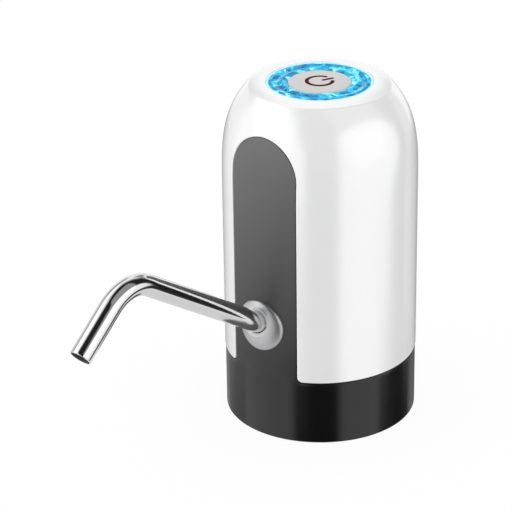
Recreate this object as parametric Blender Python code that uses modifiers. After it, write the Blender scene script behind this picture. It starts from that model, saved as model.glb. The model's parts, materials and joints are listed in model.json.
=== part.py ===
"""Battery water pump that sits on the neck of a large water bottle.

A white domed shell stands on a dark base. The base carries a dark tongue that fills the
arched slot in the front of the shell, and a bent steel spout comes out of the tongue.
A push button in a faceted light ring is set in the top. Inside are the pump and its
motor, the battery, two circuit boards and the water tubes.

Units are metres, +Z is up and the spout points along -Y. The origin lies on the ground,
under the middle of the whole object, so the body stands a little behind it.
"""
import math

import bmesh
import bpy
from mathutils import Matrix, Vector

# Working values
GAP = 0.0003                 # clearance between pieces that touch or run in each other
OVERRUN = 0.002              # how far a cutter passes the face that it opens
MERGE = 0.00001              # merge distance of turned shapes
BODY_STEPS = 48              # facets round the body
MID_STEPS = 24               # facets round the button and the collar
INNER_STEPS = 18             # facets round the pump, the motor and other inner pieces
SMALL_STEPS = 12             # facets round screws, pins and nozzles
HOSE_RESOLUTION = 3          # bevel resolution of a water tube, which gives it 10 sides
SHARP_ANGLE = math.radians(32)

# Body: the shell's outline, from the ground up
BODY_RADIUS = 0.0375
BODY_HEIGHT = 0.135
SHELL_WALL = 0.002
SEAM_HEIGHT = 0.0263         # lower edge of the white shell
DOME_HEIGHT = 0.0391         # from the top down to where the straight side starts to lean in
DOME_LOW_PULL = 0.0162       # length of the curve's lower handle
DOME_HIGH_PULL = 0.0150      # length of its upper handle
DOME_LEAN = math.radians(41.7)
CREASE_INSET = 0.0103        # from the side in to the edge between the dome and the top
CREASE_DROP = 0.0009         # how far the crease lies below the top
DOME_POINTS = 9
TOP_POINTS = 3

# Front slot and the dark tongue in it
DARK_INSET = 0.0002          # the dark moulding lies this far inside the white surface
TONGUE_WALL = 0.002
SLOT_HALF_WIDTH = 0.0152
SLOT_DROP = 0.0119           # from the body's top down to the arch's
ARCH_RISE = 0.0156           # height of the arch, which is a little more than half a circle's
SLOT_FOOT_ROUND = 0.002      # rounding of the shell's lower corners beside the slot
ARCH_POINTS = 24
FOOT_POINTS = 4

# Base with the socket for the bottle's neck
BASE_WALL = 0.0023
BASE_FLOOR = 0.0022
BASE_CHAMFER = 0.0005
LAP_HEIGHT = 0.005           # the lip that stands up inside the shell
LAP_WALL = 0.002
SOCKET_RADIUS = 0.0285
SOCKET_DEPTH = 0.024
SOCKET_WALL = 0.0022
SOCKET_CHAMFER = 0.0010
DECK_THICKNESS = 0.0025
GRIP_RIBS = 12
GRIP_RIB_HEIGHT = 0.0007
GRIP_RIB_WIDTH = 0.0016
NECK_RING_WIDTH = 0.0036
NECK_RING_THICKNESS = 0.002

# Screws that hold the shell on the base
SCREW_INSET = 0.0045         # from the body's side in to the screws
SCREW_COUNT = 4
SCREW_SHANK_RADIUS = 0.0011
SCREW_HEAD_RADIUS = 0.0020
SCREW_HEAD_HEIGHT = 0.0014
SCREW_LENGTH = 0.020
SCREW_SEAT = 0.0195          # height of the shoulder that the head pulls against
BASE_BOSS_RADIUS = 0.0033
SHELL_BOSS_RADIUS = 0.0030
SHELL_BOSS_HEIGHT = 0.018

# Spout: two straight legs and one bend, in a push-in socket behind the tongue
SPOUT_RADIUS = 0.004
SPOUT_WALL = 0.0005
SPOUT_HEIGHT = 0.04785       # where the spout's line passes the tongue's surface
SPOUT_RISE = math.radians(32.7)
SPOUT_FALL = math.radians(39.0)
SPOUT_LEG_1 = 0.0870         # from the tongue's surface to the corner of the two lines
SPOUT_LEG_2 = 0.0333
SPOUT_BEND = 0.0175
SPOUT_TAIL = 0.0127          # length inside the socket
SPOUT_RESOLUTION = 8         # bevel resolution, which gives it 20 sides
BEND_POINTS = 11

HOLDER_RADIUS = 0.0072       # spout socket
HOLDER_LENGTH = 0.015
HOLDER_NECK_WALL = 0.0013
HOLDER_NECK_PROUD = 0.0015
O_RING_THICKNESS = 0.0014
O_RING_COUNT = 2
O_RING_SIDES = 6
O_RING_FIRST = 0.0055
O_RING_PITCH = 0.0040

COLLAR_RADIUS = 0.0102       # domed collar round the spout's root
COLLAR_PROUD = 0.0052
COLLAR_EDGE = 0.0008
COLLAR_FLAT_RADIUS = 0.0034
COLLAR_MOUTH_RADIUS = 0.0050
COLLAR_FLARE = 0.0014
COLLAR_FLARE_DEPTH = 0.0012
COLLAR_POINTS = 9

# Button, light ring and the board below them
TOP_RIM_WIDTH = 0.0070       # white rim between the crease and the ring
RING_BAND = 0.0081           # width of the ring that shows
RING_SINK = 0.0004           # the ring's rims lie this far below the top
RING_DIP = 0.0005            # depth of the valley between its two rows of facets
RING_FACETS = 28
RING_FOOT_HEIGHT = 0.0088    # from the top down to the ring's foot
RING_FLANGE_WIDTH = 0.0013
RING_FLANGE_TOP = 0.0028     # from the top down to the flange's upper face
CAP_CROWN = 0.0003
CAP_EDGE = 0.0005
CAP_WALL = 0.0015
CAP_THICKNESS = 0.0024
CAP_SKIRT = 0.0048
CAP_FLANGE_WIDTH = 0.0015
CAP_FLANGE_HEIGHT = 0.0012
CAP_TRAVEL = 0.0005
STEM_RADIUS = 0.0020
PLUNGER_RADIUS = 0.0017
PLUNGER_LENGTH = 0.0017
PLUNGER_PROUD = 0.0006
SWITCH_WIDTH = 0.0060
SWITCH_HEIGHT = 0.0026
BOARD_THICKNESS = 0.0016
TOP_BOARD_MARGIN = 0.0068    # how far the board reaches past the ring
TOP_BOARD_DEPTH = 0.0109     # from the top down to the board's upper face
LED_COUNT = 4
LED_WIDTH = 0.003
LED_HEIGHT = 0.0013
BOARD_SCREW_COUNT = 3
BOARD_SCREW_INSET = 0.0025
BOARD_SCREW_FIRST = math.radians(80)
BOARD_SCREW_RADIUS = 0.0009
BOARD_SCREW_HEAD = 0.0017
BOARD_SCREW_HEAD_HEIGHT = 0.0012
BOARD_SCREW_LENGTH = 0.0075
BOARD_BOSS_RADIUS = 0.0023

# Pump, from its nozzles up to the motor
PUMP_RADIUS = 0.0135
PUMP_FOOT = 0.046            # height of the valve head's lower face
VALVE_HEAD_HEIGHT = 0.008
NOZZLE_SPREAD = 0.0055       # from the pump's axis to each nozzle
NOZZLE_RADIUS = 0.0023
NOZZLE_BORE = 0.0013
NOZZLE_LENGTH = 0.008
DIAPHRAGM_THICKNESS = 0.0014
DIAPHRAGM_CUPS = 3
CUP_RADIUS = 0.0034
CUP_HEIGHT = 0.003
CUP_CIRCLE = 0.0064
CRANK_CASE_HEIGHT = 0.014
CRANK_CASE_WALL = 0.0019
WOBBLE_RADIUS = 0.0108
WOBBLE_THICKNESS = 0.0018
WOBBLE_HUB_RADIUS = 0.0042
WOBBLE_HUB_HEIGHT = 0.0020
CRANK_RADIUS = 0.005
CRANK_HEIGHT = 0.0032
CRANK_THROW = 0.0015
CRANK_PIN_RADIUS = 0.0008
CRANK_PIN_LENGTH = 0.0030
MOTOR_RADIUS = 0.0122
MOTOR_LENGTH = 0.0308
MOTOR_WALL = 0.0010
SHAFT_RADIUS = 0.0010
SHAFT_TAIL = 0.0015          # length of shaft above the motor's end cap
ARMATURE_RADIUS = 0.0084
ARMATURE_LENGTH = 0.014
COMMUTATOR_RADIUS = 0.003
COMMUTATOR_LENGTH = 0.004
MAGNET_WALL = 0.0019
MAGNET_LENGTH = 0.018
MAGNET_SPLIT = 0.006
MAGNET_PLACE_SHARE = 0.42    # height of the magnets' middle, as a share of the can's
MOTOR_CAP_THICKNESS = 0.0025
TERMINAL_WIDTH = 0.0018
TERMINAL_THICKNESS = 0.0005
TERMINAL_HEIGHT = 0.0032

CRADLE_WALL = 0.0015
CRADLE_HEIGHT = 0.0120
CRADLE_LEDGE_WIDTH = 0.0022
CRADLE_LEDGE_THICKNESS = 0.0014
CRADLE_LEG_RADIUS = 0.0016
CRADLE_FOOT_RADIUS = 0.0026
CRADLE_FOOT_HEIGHT = 0.0012
CRADLE_LEG_ANGLES = (math.radians(45), math.radians(125), math.radians(215))

# Battery and its holder
BATTERY_RADIUS = 0.0092
BATTERY_LENGTH = 0.065
BATTERY_EDGE = 0.0008
BATTERY_CAP_RADIUS = 0.0040
BATTERY_CAP_HEIGHT = 0.0008
TRAY_WALL = 0.0016
TRAY_FLOOR = 0.0015
TRAY_HEIGHT = 0.060
TRAY_LIP = 0.004             # height of the rim that stays all round at its foot
TRAY_OPEN_SHARE = 0.35       # where the tray's open side starts, as a share of its radius

# Water tubes and the inlet barb
HOSE_RADIUS = 0.0038
HOSE_BORE = 0.0026
HOSE_PULL = 0.009            # how far the outlet tube runs on before it turns
HOSE_POINTS = 10
BARB_RADIUS = 0.0036
BARB_BORE = 0.0022
BARB_TOOTH = 0.0005
BARB_TEETH = 3
BARB_PITCH = 0.0034
BARB_LENGTH = 0.0125
BARB_SHANK_RADIUS = 0.0040
BARB_FLANGE_RADIUS = 0.0075
BARB_FLANGE_THICKNESS = 0.0018
BARB_SHOULDER = 0.0008
INNER_STUB_LENGTH = 0.006

# Charging board and socket, behind the window in the back of the shell
CHARGE_BOARD_WIDTH = 0.016
CHARGE_BOARD_HEIGHT = 0.030
CHARGE_BOARD_INSET = 0.0077   # from the body's side in to the board's middle
RAIL_WIDTH = 0.0034
RAIL_DEPTH = 0.0046
RAIL_HEIGHT = 0.010
PORT_HEIGHT = 0.0405         # height of the charging socket's middle
PORT_WIDTH = 0.0078
PORT_THICKNESS = 0.0029
PORT_LENGTH = 0.0052
PORT_WALL = 0.0004
PORT_FLOOR = 0.0010
PORT_CLEARANCE = 0.0005
PORT_ROUND = 0.0008
TONGUE_BLADE_WIDTH = 0.0044
TONGUE_BLADE_THICKNESS = 0.0006
TONGUE_BLADE_LENGTH = 0.0034

# Wires from the motor, the cell and the charging board up to the round board
LEAD_RADIUS = 0.0007
LEAD_RESOLUTION = 2
LEAD_POINTS = 7
LEAD_PULL = 0.012            # how far a wire runs straight before it turns
LEAD_SHIFT = 0.004           # how far it moves sideways on its way up
CHARGE_LEAD_SPREAD = 0.003   # from the middle to each wire of the charging board
CHARGE_LEAD_INSET = 0.016    # from the charging board in to where its wires end

# Places that follow from the sizes above
DOME_START = BODY_HEIGHT - DOME_HEIGHT
CREASE_RADIUS = BODY_RADIUS - CREASE_INSET
RING_RADIUS = CREASE_RADIUS - TOP_RIM_WIDTH
CAP_RADIUS = RING_RADIUS - RING_BAND
TOP_BOARD_RADIUS = RING_RADIUS + TOP_BOARD_MARGIN
BOARD_SCREW_CIRCLE = TOP_BOARD_RADIUS - BOARD_SCREW_INSET
SLOT_TOP = BODY_HEIGHT - SLOT_DROP
SCREW_CIRCLE = BODY_RADIUS - SCREW_INSET
CHARGE_BOARD_PLACE_Y = BODY_RADIUS - CHARGE_BOARD_INSET
DARK_RADIUS = BODY_RADIUS - DARK_INSET
SHELL_INNER_RADIUS = BODY_RADIUS - SHELL_WALL
LAP_RADIUS = SHELL_INNER_RADIUS - GAP
BASE_TOP = SEAM_HEIGHT - GAP
BASE_BOSS_TOP = BASE_TOP - GAP
SHELL_BOSS_FOOT = BASE_BOSS_TOP + GAP
LAP_TOP = BASE_TOP + LAP_HEIGHT
DECK_TOP = SOCKET_DEPTH + DECK_THICKNESS
RING_OPENING = RING_RADIUS + GAP
CAP_OPENING = CAP_RADIUS + GAP
CAP_FLANGE_RADIUS = CAP_RADIUS + CAP_FLANGE_WIDTH
TOP_BOARD_TOP = BODY_HEIGHT - TOP_BOARD_DEPTH
SPOUT_REACH = (
    DARK_RADIUS
    + SPOUT_LEG_1 * math.cos(SPOUT_RISE)
    + SPOUT_LEG_2 * math.cos(SPOUT_FALL)
    + SPOUT_RADIUS * math.sin(SPOUT_FALL)
)
BODY_PLACE_Y = (SPOUT_REACH - BODY_RADIUS) / 2
PUMP_PLACE_X = -NOZZLE_SPREAD
TRAY_RADIUS = BATTERY_RADIUS + GAP + TRAY_WALL
BATTERY_PLACE_X = LAP_RADIUS - LAP_WALL - GAP - TRAY_RADIUS
LEAD_TOP = TOP_BOARD_TOP - BOARD_THICKNESS - GAP
BATTERY_FOOT = DECK_TOP + GAP + TRAY_FLOOR + GAP
DIAPHRAGM_FOOT = PUMP_FOOT + VALVE_HEAD_HEIGHT + GAP
CRANK_CASE_FOOT = DIAPHRAGM_FOOT + DIAPHRAGM_THICKNESS + GAP
MOTOR_FOOT = CRANK_CASE_FOOT + CRANK_CASE_HEIGHT + GAP
WOBBLE_FOOT = DIAPHRAGM_FOOT + DIAPHRAGM_THICKNESS + CUP_HEIGHT + GAP
CRANK_TOP = MOTOR_FOOT - GAP - CRANK_CASE_WALL - GAP
HOSE_SEAT = DECK_TOP + GAP + BARB_SHOULDER

parts = None
cutters = None


def clear_scene():
    for obj in list(bpy.data.objects):
        bpy.data.objects.remove(obj, do_unlink=True)


def make_collection(name):
    collection = bpy.data.collections.new(name)
    bpy.context.scene.collection.children.link(collection)
    return collection


def make_material(name, colour, roughness, metallic=0.0):
    material = bpy.data.materials.new(name)
    material.use_nodes = True
    shader = material.node_tree.nodes["Principled BSDF"]
    shader.inputs["Base Color"].default_value = (*colour, 1.0)
    shader.inputs["Roughness"].default_value = roughness
    shader.inputs["Metallic"].default_value = metallic
    material.diffuse_color = (*colour, 1.0)
    return material


def place(name, mesh, finish=None, parent=None, at=(0, 0, 0), turn=(0, 0, 0)):
    """Wrap a mesh in an object: a part when it has a finish, a cutter when it has none."""
    obj = bpy.data.objects.new(name, mesh)
    if finish:
        obj.data.materials.append(finish)
        parts.objects.link(obj)
    else:
        cutters.objects.link(obj)
        obj.hide_render = True
        obj.display_type = 'WIRE'
    obj.parent = parent
    obj.location = at
    obj.rotation_euler = turn
    return obj


def make_empty(name, parent, at, turn=(0, 0, 0)):
    empty = bpy.data.objects.new(name, None)
    parts.objects.link(empty)
    empty.parent = parent
    empty.location = at
    empty.rotation_euler = turn
    return empty


def add_boolean(target, tool, operation):
    modifier = target.modifiers.new(tool.name, 'BOOLEAN')
    modifier.operation = operation
    modifier.object = tool
    modifier.solver = 'EXACT'


def cut(target, *tools):
    for tool in tools:
        add_boolean(target, tool, 'DIFFERENCE')


def join(target, *tools):
    for tool in tools:
        add_boolean(target, tool, 'UNION')


def keep_inside(target, tool):
    add_boolean(target, tool, 'INTERSECT')


def turned(name, profile, steps, closed=True, **where):
    """Turn a profile of (radius, height) points round Z, its outer side listed downwards."""
    mesh = bpy.data.meshes.new(name)
    points = [(radius, 0, height) for radius, height in profile]
    edges = [(i, i + 1) for i in range(len(points) - 1)]
    if closed:
        edges.append((len(points) - 1, 0))
    mesh.from_pydata(points, edges, [])
    obj = place(name, mesh, **where)
    screw = obj.modifiers.new("turn", 'SCREW')
    screw.steps = screw.render_steps = steps
    screw.use_merge_vertices = True
    screw.merge_threshold = MERGE
    screw.use_smooth_shade = True
    return obj


def pin(name, radius, bottom, top, steps, **where):
    """A plain round bar along Z."""
    profile = [(0, top), (radius, top), (radius, bottom), (0, bottom)]
    return turned(name, profile, steps, closed=False, **where)


def sleeve(name, radius, bore, bottom, top, steps, **where):
    """A round bar with a hole right through it."""
    profile = [(radius, top), (radius, bottom), (bore, bottom), (bore, top)]
    return turned(name, profile, steps, **where)


def block(name, size, centre, **where):
    mesh = bpy.data.meshes.new(name)
    scaled = Matrix.Translation(centre) @ Matrix.Diagonal((*size, 1))
    bm = bmesh.new()
    bmesh.ops.create_cube(bm, size=1, matrix=scaled)
    bm.to_mesh(mesh)
    bm.free()
    return place(name, mesh, **where)


def curve_to_mesh(name, curve):
    """Turn a curve into a welded closed mesh."""
    obj = bpy.data.objects.new(name, curve)
    cutters.objects.link(obj)
    bpy.context.view_layer.update()
    evaluated = obj.evaluated_get(bpy.context.evaluated_depsgraph_get())
    mesh = bpy.data.meshes.new_from_object(evaluated)
    bpy.data.objects.remove(obj, do_unlink=True)
    bm = bmesh.new()
    bm.from_mesh(mesh)
    bmesh.ops.remove_doubles(bm, verts=bm.verts, dist=MERGE)
    bmesh.ops.recalc_face_normals(bm, faces=bm.faces)
    bm.to_mesh(mesh)
    bm.free()
    mesh.name = name
    return mesh


def poly_curve(name, points, closed=False):
    curve = bpy.data.curves.new(name, 'CURVE')
    spline = curve.splines.new('POLY')
    spline.points.add(len(points) - 1)
    for point, place_at in zip(spline.points, points):
        point.co = (*place_at, 1)
    spline.use_cyclic_u = closed
    return curve


def tube(name, route, radius, resolution, **where):
    """A round tube along a route of points, with flat ends."""
    curve = poly_curve(name, route)
    curve.dimensions = '3D'
    curve.bevel_depth = radius
    curve.bevel_resolution = resolution
    curve.use_fill_caps = True
    return place(name, curve_to_mesh(name, curve), **where)


def hollow_tube(name, route, radius, bore, resolution, **where):
    """A tube with a bore, which a longer and thinner tube cuts out."""
    obj = tube(name, route, radius, resolution, **where)
    first, second, last_but_one, last = (Vector(route[i]) for i in (0, 1, -2, -1))
    before = first + (first - second).normalized() * OVERRUN
    after = last + (last - last_but_one).normalized() * OVERRUN
    longer = [before, *route, after]
    cut(obj, tube(name + "_bore", longer, bore, resolution, parent=where.get("parent")))
    return obj


def prism(name, outline, front, back, **where):
    """Sweep an outline of (x, z) points along Y, from front to back."""
    curve = poly_curve(name, [(x, z, 0) for x, z in outline], closed=True)
    curve.dimensions = '2D'
    curve.fill_mode = 'BOTH'
    curve.extrude = (back - front) / 2
    mesh = curve_to_mesh(name, curve)
    upright = Matrix.Rotation(math.radians(90), 4, 'X')
    mesh.transform(Matrix.Translation((0, (front + back) / 2, 0)) @ upright)
    return place(name, mesh, **where)


def round_spots(radius, count, first=0.0):
    """Places evenly spaced on a circle."""
    angles = [first + math.tau * i / count for i in range(count)]
    return [(radius * math.cos(angle), radius * math.sin(angle)) for angle in angles]


def screw_spots():
    return round_spots(SCREW_CIRCLE, SCREW_COUNT, math.pi / SCREW_COUNT)


def board_screw_spots():
    return round_spots(BOARD_SCREW_CIRCLE, BOARD_SCREW_COUNT, BOARD_SCREW_FIRST)


def bezier(start, pull_1, pull_2, end, count):
    """Points along a cubic curve from start to end, both included."""
    found = []
    for i in range(count):
        t = i / (count - 1)
        s = 1 - t
        outer = start * s ** 3 + end * t ** 3
        inner = pull_1 * (3 * s * s * t) + pull_2 * (3 * s * t * t)
        found.append(outer + inner)
    return found


def dome_curve(inset):
    """The dome's side from the crease down to its start, moved in by the inset."""
    crease = Vector((CREASE_RADIUS, 0, BODY_HEIGHT - CREASE_DROP))
    start = Vector((BODY_RADIUS, 0, DOME_START))
    lean = Vector((math.sin(DOME_LEAN), 0, -math.cos(DOME_LEAN)))
    upper = crease + lean * DOME_HIGH_PULL
    lower = start + Vector((0, 0, DOME_LOW_PULL))
    line = bezier(crease, upper, lower, start, DOME_POINTS)
    moved = []
    for i, point in enumerate(line):
        along = line[min(i + 1, len(line) - 1)] - line[max(i - 1, 0)]
        if i == len(line) - 1:
            along = Vector((0, 0, -1))
        inward = Vector((along.z, 0, -along.x)).normalized()
        moved.append(point + inward * inset)
    return [(p.x, p.z) for p in moved]


def slot_outline(clearance):
    """Arched slot, seen from the front, drawn smaller by the clearance."""
    half = SLOT_HALF_WIDTH - clearance
    round_off = SLOT_FOOT_ROUND + clearance
    foot = SEAM_HEIGHT - clearance
    centre = SLOT_TOP - ARCH_RISE
    rise = ARCH_RISE - clearance
    right = [(half + round_off, foot - OVERRUN), (half + round_off, foot)]
    for i in range(1, FOOT_POINTS):
        angle = math.radians(270 - 90 * i / FOOT_POINTS)
        x = half + round_off + round_off * math.cos(angle)
        right.append((x, foot + round_off + round_off * math.sin(angle)))
    right.append((half, foot + round_off))
    arch = []
    for i in range(ARCH_POINTS + 1):
        angle = math.pi * i / ARCH_POINTS
        arch.append((half * math.cos(angle), centre + rise * math.sin(angle)))
    left = [(-x, z) for x, z in reversed(right)]
    return right + arch + left


def make_shell(body, finish):
    """White shell: a turned skin, opened at the top, the front and the back."""
    top = []
    for i in range(TOP_POINTS):
        share = i / TOP_POINTS
        radius = RING_OPENING + (CREASE_RADIUS - RING_OPENING) * share
        top.append((radius, BODY_HEIGHT - CREASE_DROP * share ** 2))
    profile = top + dome_curve(0) + [(BODY_RADIUS, SEAM_HEIGHT)]
    shell = turned("outer_shell", profile, BODY_STEPS, closed=False, finish=finish, parent=body)
    skin = shell.modifiers.new("wall", 'SOLIDIFY')
    skin.thickness = SHELL_WALL
    skin.offset = -1
    skin.use_even_offset = True

    add_bosses(shell, body, "shell", screw_spots(), SHELL_BOSS_RADIUS, SCREW_SHANK_RADIUS + GAP,
               SHELL_BOSS_FOOT, SHELL_BOSS_FOOT + SHELL_BOSS_HEIGHT,
               SCREW_SEAT + SCREW_LENGTH + GAP)
    add_bosses(shell, body, "board", board_screw_spots(), BOARD_BOSS_RADIUS,
               BOARD_SCREW_RADIUS + GAP, TOP_BOARD_TOP + GAP,
               BODY_HEIGHT - CREASE_DROP - SHELL_WALL / 2,
               TOP_BOARD_TOP - BOARD_THICKNESS + BOARD_SCREW_LENGTH + GAP)
    cut(shell, prism("slot_cutter", slot_outline(0), -BODY_RADIUS - OVERRUN, 0, parent=body))
    size = (PORT_WIDTH + 2 * PORT_CLEARANCE, SHELL_WALL + 2 * OVERRUN,
            PORT_THICKNESS + 2 * PORT_CLEARANCE)
    window = block("port_window", size, (0, BODY_RADIUS - SHELL_WALL / 2, PORT_HEIGHT), parent=body)
    rounding = window.modifiers.new("round", 'BEVEL')
    rounding.width = PORT_ROUND
    rounding.segments = 3
    cut(shell, window)
    return shell


def add_bosses(shell, body, kind, spots, radius, pilot, foot, top, pilot_top):
    """Round bosses that hang in the shell, each with a blind screw hole from below."""
    profile = [(0, top), (radius, top), (radius, foot), (pilot, foot), (pilot, pilot_top),
               (0, pilot_top)]
    for i, (x, y) in enumerate(spots):
        join(shell, turned(f"{kind}_boss_{i + 1}", profile, SMALL_STEPS, closed=False,
                           parent=body, at=(x, y, 0)))


def make_base(body, finish):
    """Dark moulding: cup, neck socket, deck, lap lip and the tongue in front."""
    outer = dome_curve(DARK_INSET)
    inner = dome_curve(DARK_INSET + TONGUE_WALL)
    wall_radius = DARK_RADIUS - BASE_WALL
    lap_inner = LAP_RADIUS - LAP_WALL
    profile = outer + [
        (DARK_RADIUS, BASE_CHAMFER),
        (DARK_RADIUS - BASE_CHAMFER, 0),
        (SOCKET_RADIUS + SOCKET_CHAMFER, 0),
        (SOCKET_RADIUS, SOCKET_CHAMFER),
        (SOCKET_RADIUS, SOCKET_DEPTH),
        (BARB_SHANK_RADIUS + GAP, SOCKET_DEPTH),
        (BARB_SHANK_RADIUS + GAP, DECK_TOP),
        (SOCKET_RADIUS + SOCKET_WALL, DECK_TOP),
        (SOCKET_RADIUS + SOCKET_WALL, BASE_FLOOR),
        (wall_radius, BASE_FLOOR),
        (wall_radius, BASE_TOP - LAP_HEIGHT),
        (lap_inner, BASE_TOP - LAP_HEIGHT + LAP_WALL),
        (lap_inner, LAP_TOP),
        (DARK_RADIUS - TONGUE_WALL, LAP_TOP),
    ] + list(reversed(inner))
    base = turned("base_body", profile, BODY_STEPS, finish=finish, parent=body)

    # Everything of the upper wall goes, apart from what lies in the arched slot.
    far = BODY_RADIUS + BODY_RADIUS
    middle = (BASE_TOP + DOME_START) / 2
    above = BODY_HEIGHT + OVERRUN
    waste = turned("tongue_waste", [(0, above), (far, above), (far, BASE_TOP),
                                    (LAP_RADIUS, BASE_TOP), (LAP_RADIUS, middle), (0, middle)],
                   BODY_STEPS, closed=False, parent=body)
    cut(waste, prism("tongue_form", slot_outline(GAP), -far - OVERRUN, 0, parent=body))
    cut(base, waste)

    add_socket_ribs(base, body)
    add_base_bosses(base, body)
    add_board_rails(base, body)
    spout_line = bpy.data.objects["spout_line"]
    neck = SPOUT_RADIUS + GAP + HOLDER_NECK_WALL
    cut(base, pin("tongue_hole", neck + GAP, -HOLDER_LENGTH, COLLAR_PROUD + HOLDER_LENGTH,
                  MID_STEPS, parent=spout_line))
    return base


def add_socket_ribs(base, body):
    """Low upright ribs that grip the bottle's neck."""
    height = SOCKET_DEPTH - NECK_RING_THICKNESS - SOCKET_CHAMFER - 2 * GAP
    size = (2 * GRIP_RIB_HEIGHT, GRIP_RIB_WIDTH, height - SOCKET_CHAMFER)
    for i in range(GRIP_RIBS):
        angle = math.tau * (i + 0.5) / GRIP_RIBS
        join(base, block(f"grip_rib_{i + 1}", size,
                         (SOCKET_RADIUS, 0, 2 * SOCKET_CHAMFER + size[2] / 2),
                         parent=body, turn=(0, 0, angle)))


def add_base_bosses(base, body):
    """Deep screw wells in the base, with room above them for the shell's bosses."""
    for i, (x, y) in enumerate(screw_spots()):
        join(base, pin(f"base_boss_{i + 1}", BASE_BOSS_RADIUS, BASE_FLOOR / 2, BASE_BOSS_TOP,
                       SMALL_STEPS, parent=body, at=(x, y, 0)))
    well = SCREW_HEAD_RADIUS + GAP
    hole = SCREW_SHANK_RADIUS + GAP
    room = SHELL_BOSS_RADIUS + GAP
    profile = [(0, LAP_TOP + OVERRUN), (room, LAP_TOP + OVERRUN), (room, BASE_BOSS_TOP),
               (hole, BASE_BOSS_TOP), (hole, SCREW_SEAT), (well, SCREW_SEAT), (well, -OVERRUN),
               (0, -OVERRUN)]
    for i, (x, y) in enumerate(screw_spots()):
        cut(base, turned(f"screw_well_{i + 1}", profile, SMALL_STEPS, closed=False,
                         parent=body, at=(x, y, 0)))


def add_board_rails(base, body):
    """Two grooved posts on the deck that hold the charging board upright."""
    half = CHARGE_BOARD_WIDTH / 2
    slot = (CHARGE_BOARD_WIDTH + 2 * GAP, BOARD_THICKNESS + 2 * GAP, RAIL_HEIGHT + OVERRUN)
    for side in (-1, 1):
        post = (RAIL_WIDTH, RAIL_DEPTH, RAIL_HEIGHT + DECK_THICKNESS / 2)
        middle = DECK_TOP - DECK_THICKNESS / 2 + post[2] / 2
        centre = (side * half, CHARGE_BOARD_PLACE_Y, middle)
        join(base, block(f"rail_{side + 2}", post, centre, parent=body))
    cut(base, block("rail_slot", slot, (0, CHARGE_BOARD_PLACE_Y, DECK_TOP + slot[2] / 2),
                    parent=body))


def make_neck_ring(body, finish):
    rim = SOCKET_RADIUS - GAP
    top = SOCKET_DEPTH - GAP
    return sleeve("neck_ring", rim, rim - NECK_RING_WIDTH, top - NECK_RING_THICKNESS, top,
                  BODY_STEPS, finish=finish, parent=body)


def make_inlet_barb(body, finish):
    """Hose barb under the deck, with a stub above it for the inner tube."""
    ceiling = SOCKET_DEPTH - GAP
    flange = ceiling - BARB_FLANGE_THICKNESS
    stub_top = HOSE_SEAT + INNER_STUB_LENGTH
    profile = [
        (NOZZLE_RADIUS, stub_top),
        (NOZZLE_RADIUS, HOSE_SEAT),
        (BARB_SHANK_RADIUS, HOSE_SEAT),
        (BARB_SHANK_RADIUS, ceiling),
        (BARB_FLANGE_RADIUS, ceiling),
        (BARB_FLANGE_RADIUS, flange),
        (BARB_RADIUS, flange),
    ]
    foot = flange - BARB_LENGTH
    for i in reversed(range(BARB_TEETH)):
        edge = foot + (i + 1) * BARB_PITCH
        profile += [(BARB_RADIUS, edge), (BARB_RADIUS + BARB_TOOTH, edge),
                    (BARB_RADIUS, edge - BARB_PITCH * 3 / 4)]
    profile += [(BARB_RADIUS, foot), (BARB_BORE, foot), (BARB_BORE, ceiling),
                (NOZZLE_BORE, DECK_TOP), (NOZZLE_BORE, stub_top)]
    return turned("inlet_barb", profile, INNER_STEPS, finish=finish, parent=body)


def make_base_screws(body, finish):
    head_top = SCREW_SEAT - GAP
    profile = [
        (0, head_top + SCREW_LENGTH),
        (SCREW_SHANK_RADIUS, head_top + SCREW_LENGTH - SCREW_SHANK_RADIUS),
        (SCREW_SHANK_RADIUS, head_top),
        (SCREW_HEAD_RADIUS, head_top),
        (SCREW_HEAD_RADIUS, head_top - SCREW_HEAD_HEIGHT),
        (0, head_top - SCREW_HEAD_HEIGHT),
    ]
    for i, (x, y) in enumerate(screw_spots()):
        turned(f"base_screw_{i + 1}", profile, SMALL_STEPS, closed=False, finish=finish,
               parent=body, at=(x, y, 0))


def spout_route():
    """The spout's centre line: +Z runs out along the first leg, and -Y is down."""
    turn = SPOUT_RISE + SPOUT_FALL
    tangent = SPOUT_BEND * math.tan(turn / 2)
    start = SPOUT_LEG_1 - tangent
    route = [Vector((0, 0, -SPOUT_TAIL))]
    for i in range(BEND_POINTS + 1):
        angle = turn * i / BEND_POINTS
        drop = SPOUT_BEND * (1 - math.cos(angle))
        route.append(Vector((0, -drop, start + SPOUT_BEND * math.sin(angle))))
    corner = Vector((0, 0, SPOUT_LEG_1))
    route.append(corner + SPOUT_LEG_2 * Vector((0, -math.sin(turn), math.cos(turn))))
    return route


def make_spout(spout_line, finish):
    return hollow_tube("spout_tube", spout_route(), SPOUT_RADIUS, SPOUT_RADIUS - SPOUT_WALL,
                       SPOUT_RESOLUTION, finish=finish, parent=spout_line)


def o_ring_places():
    return [-(O_RING_FIRST + i * O_RING_PITCH) for i in range(O_RING_COUNT)]


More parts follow.
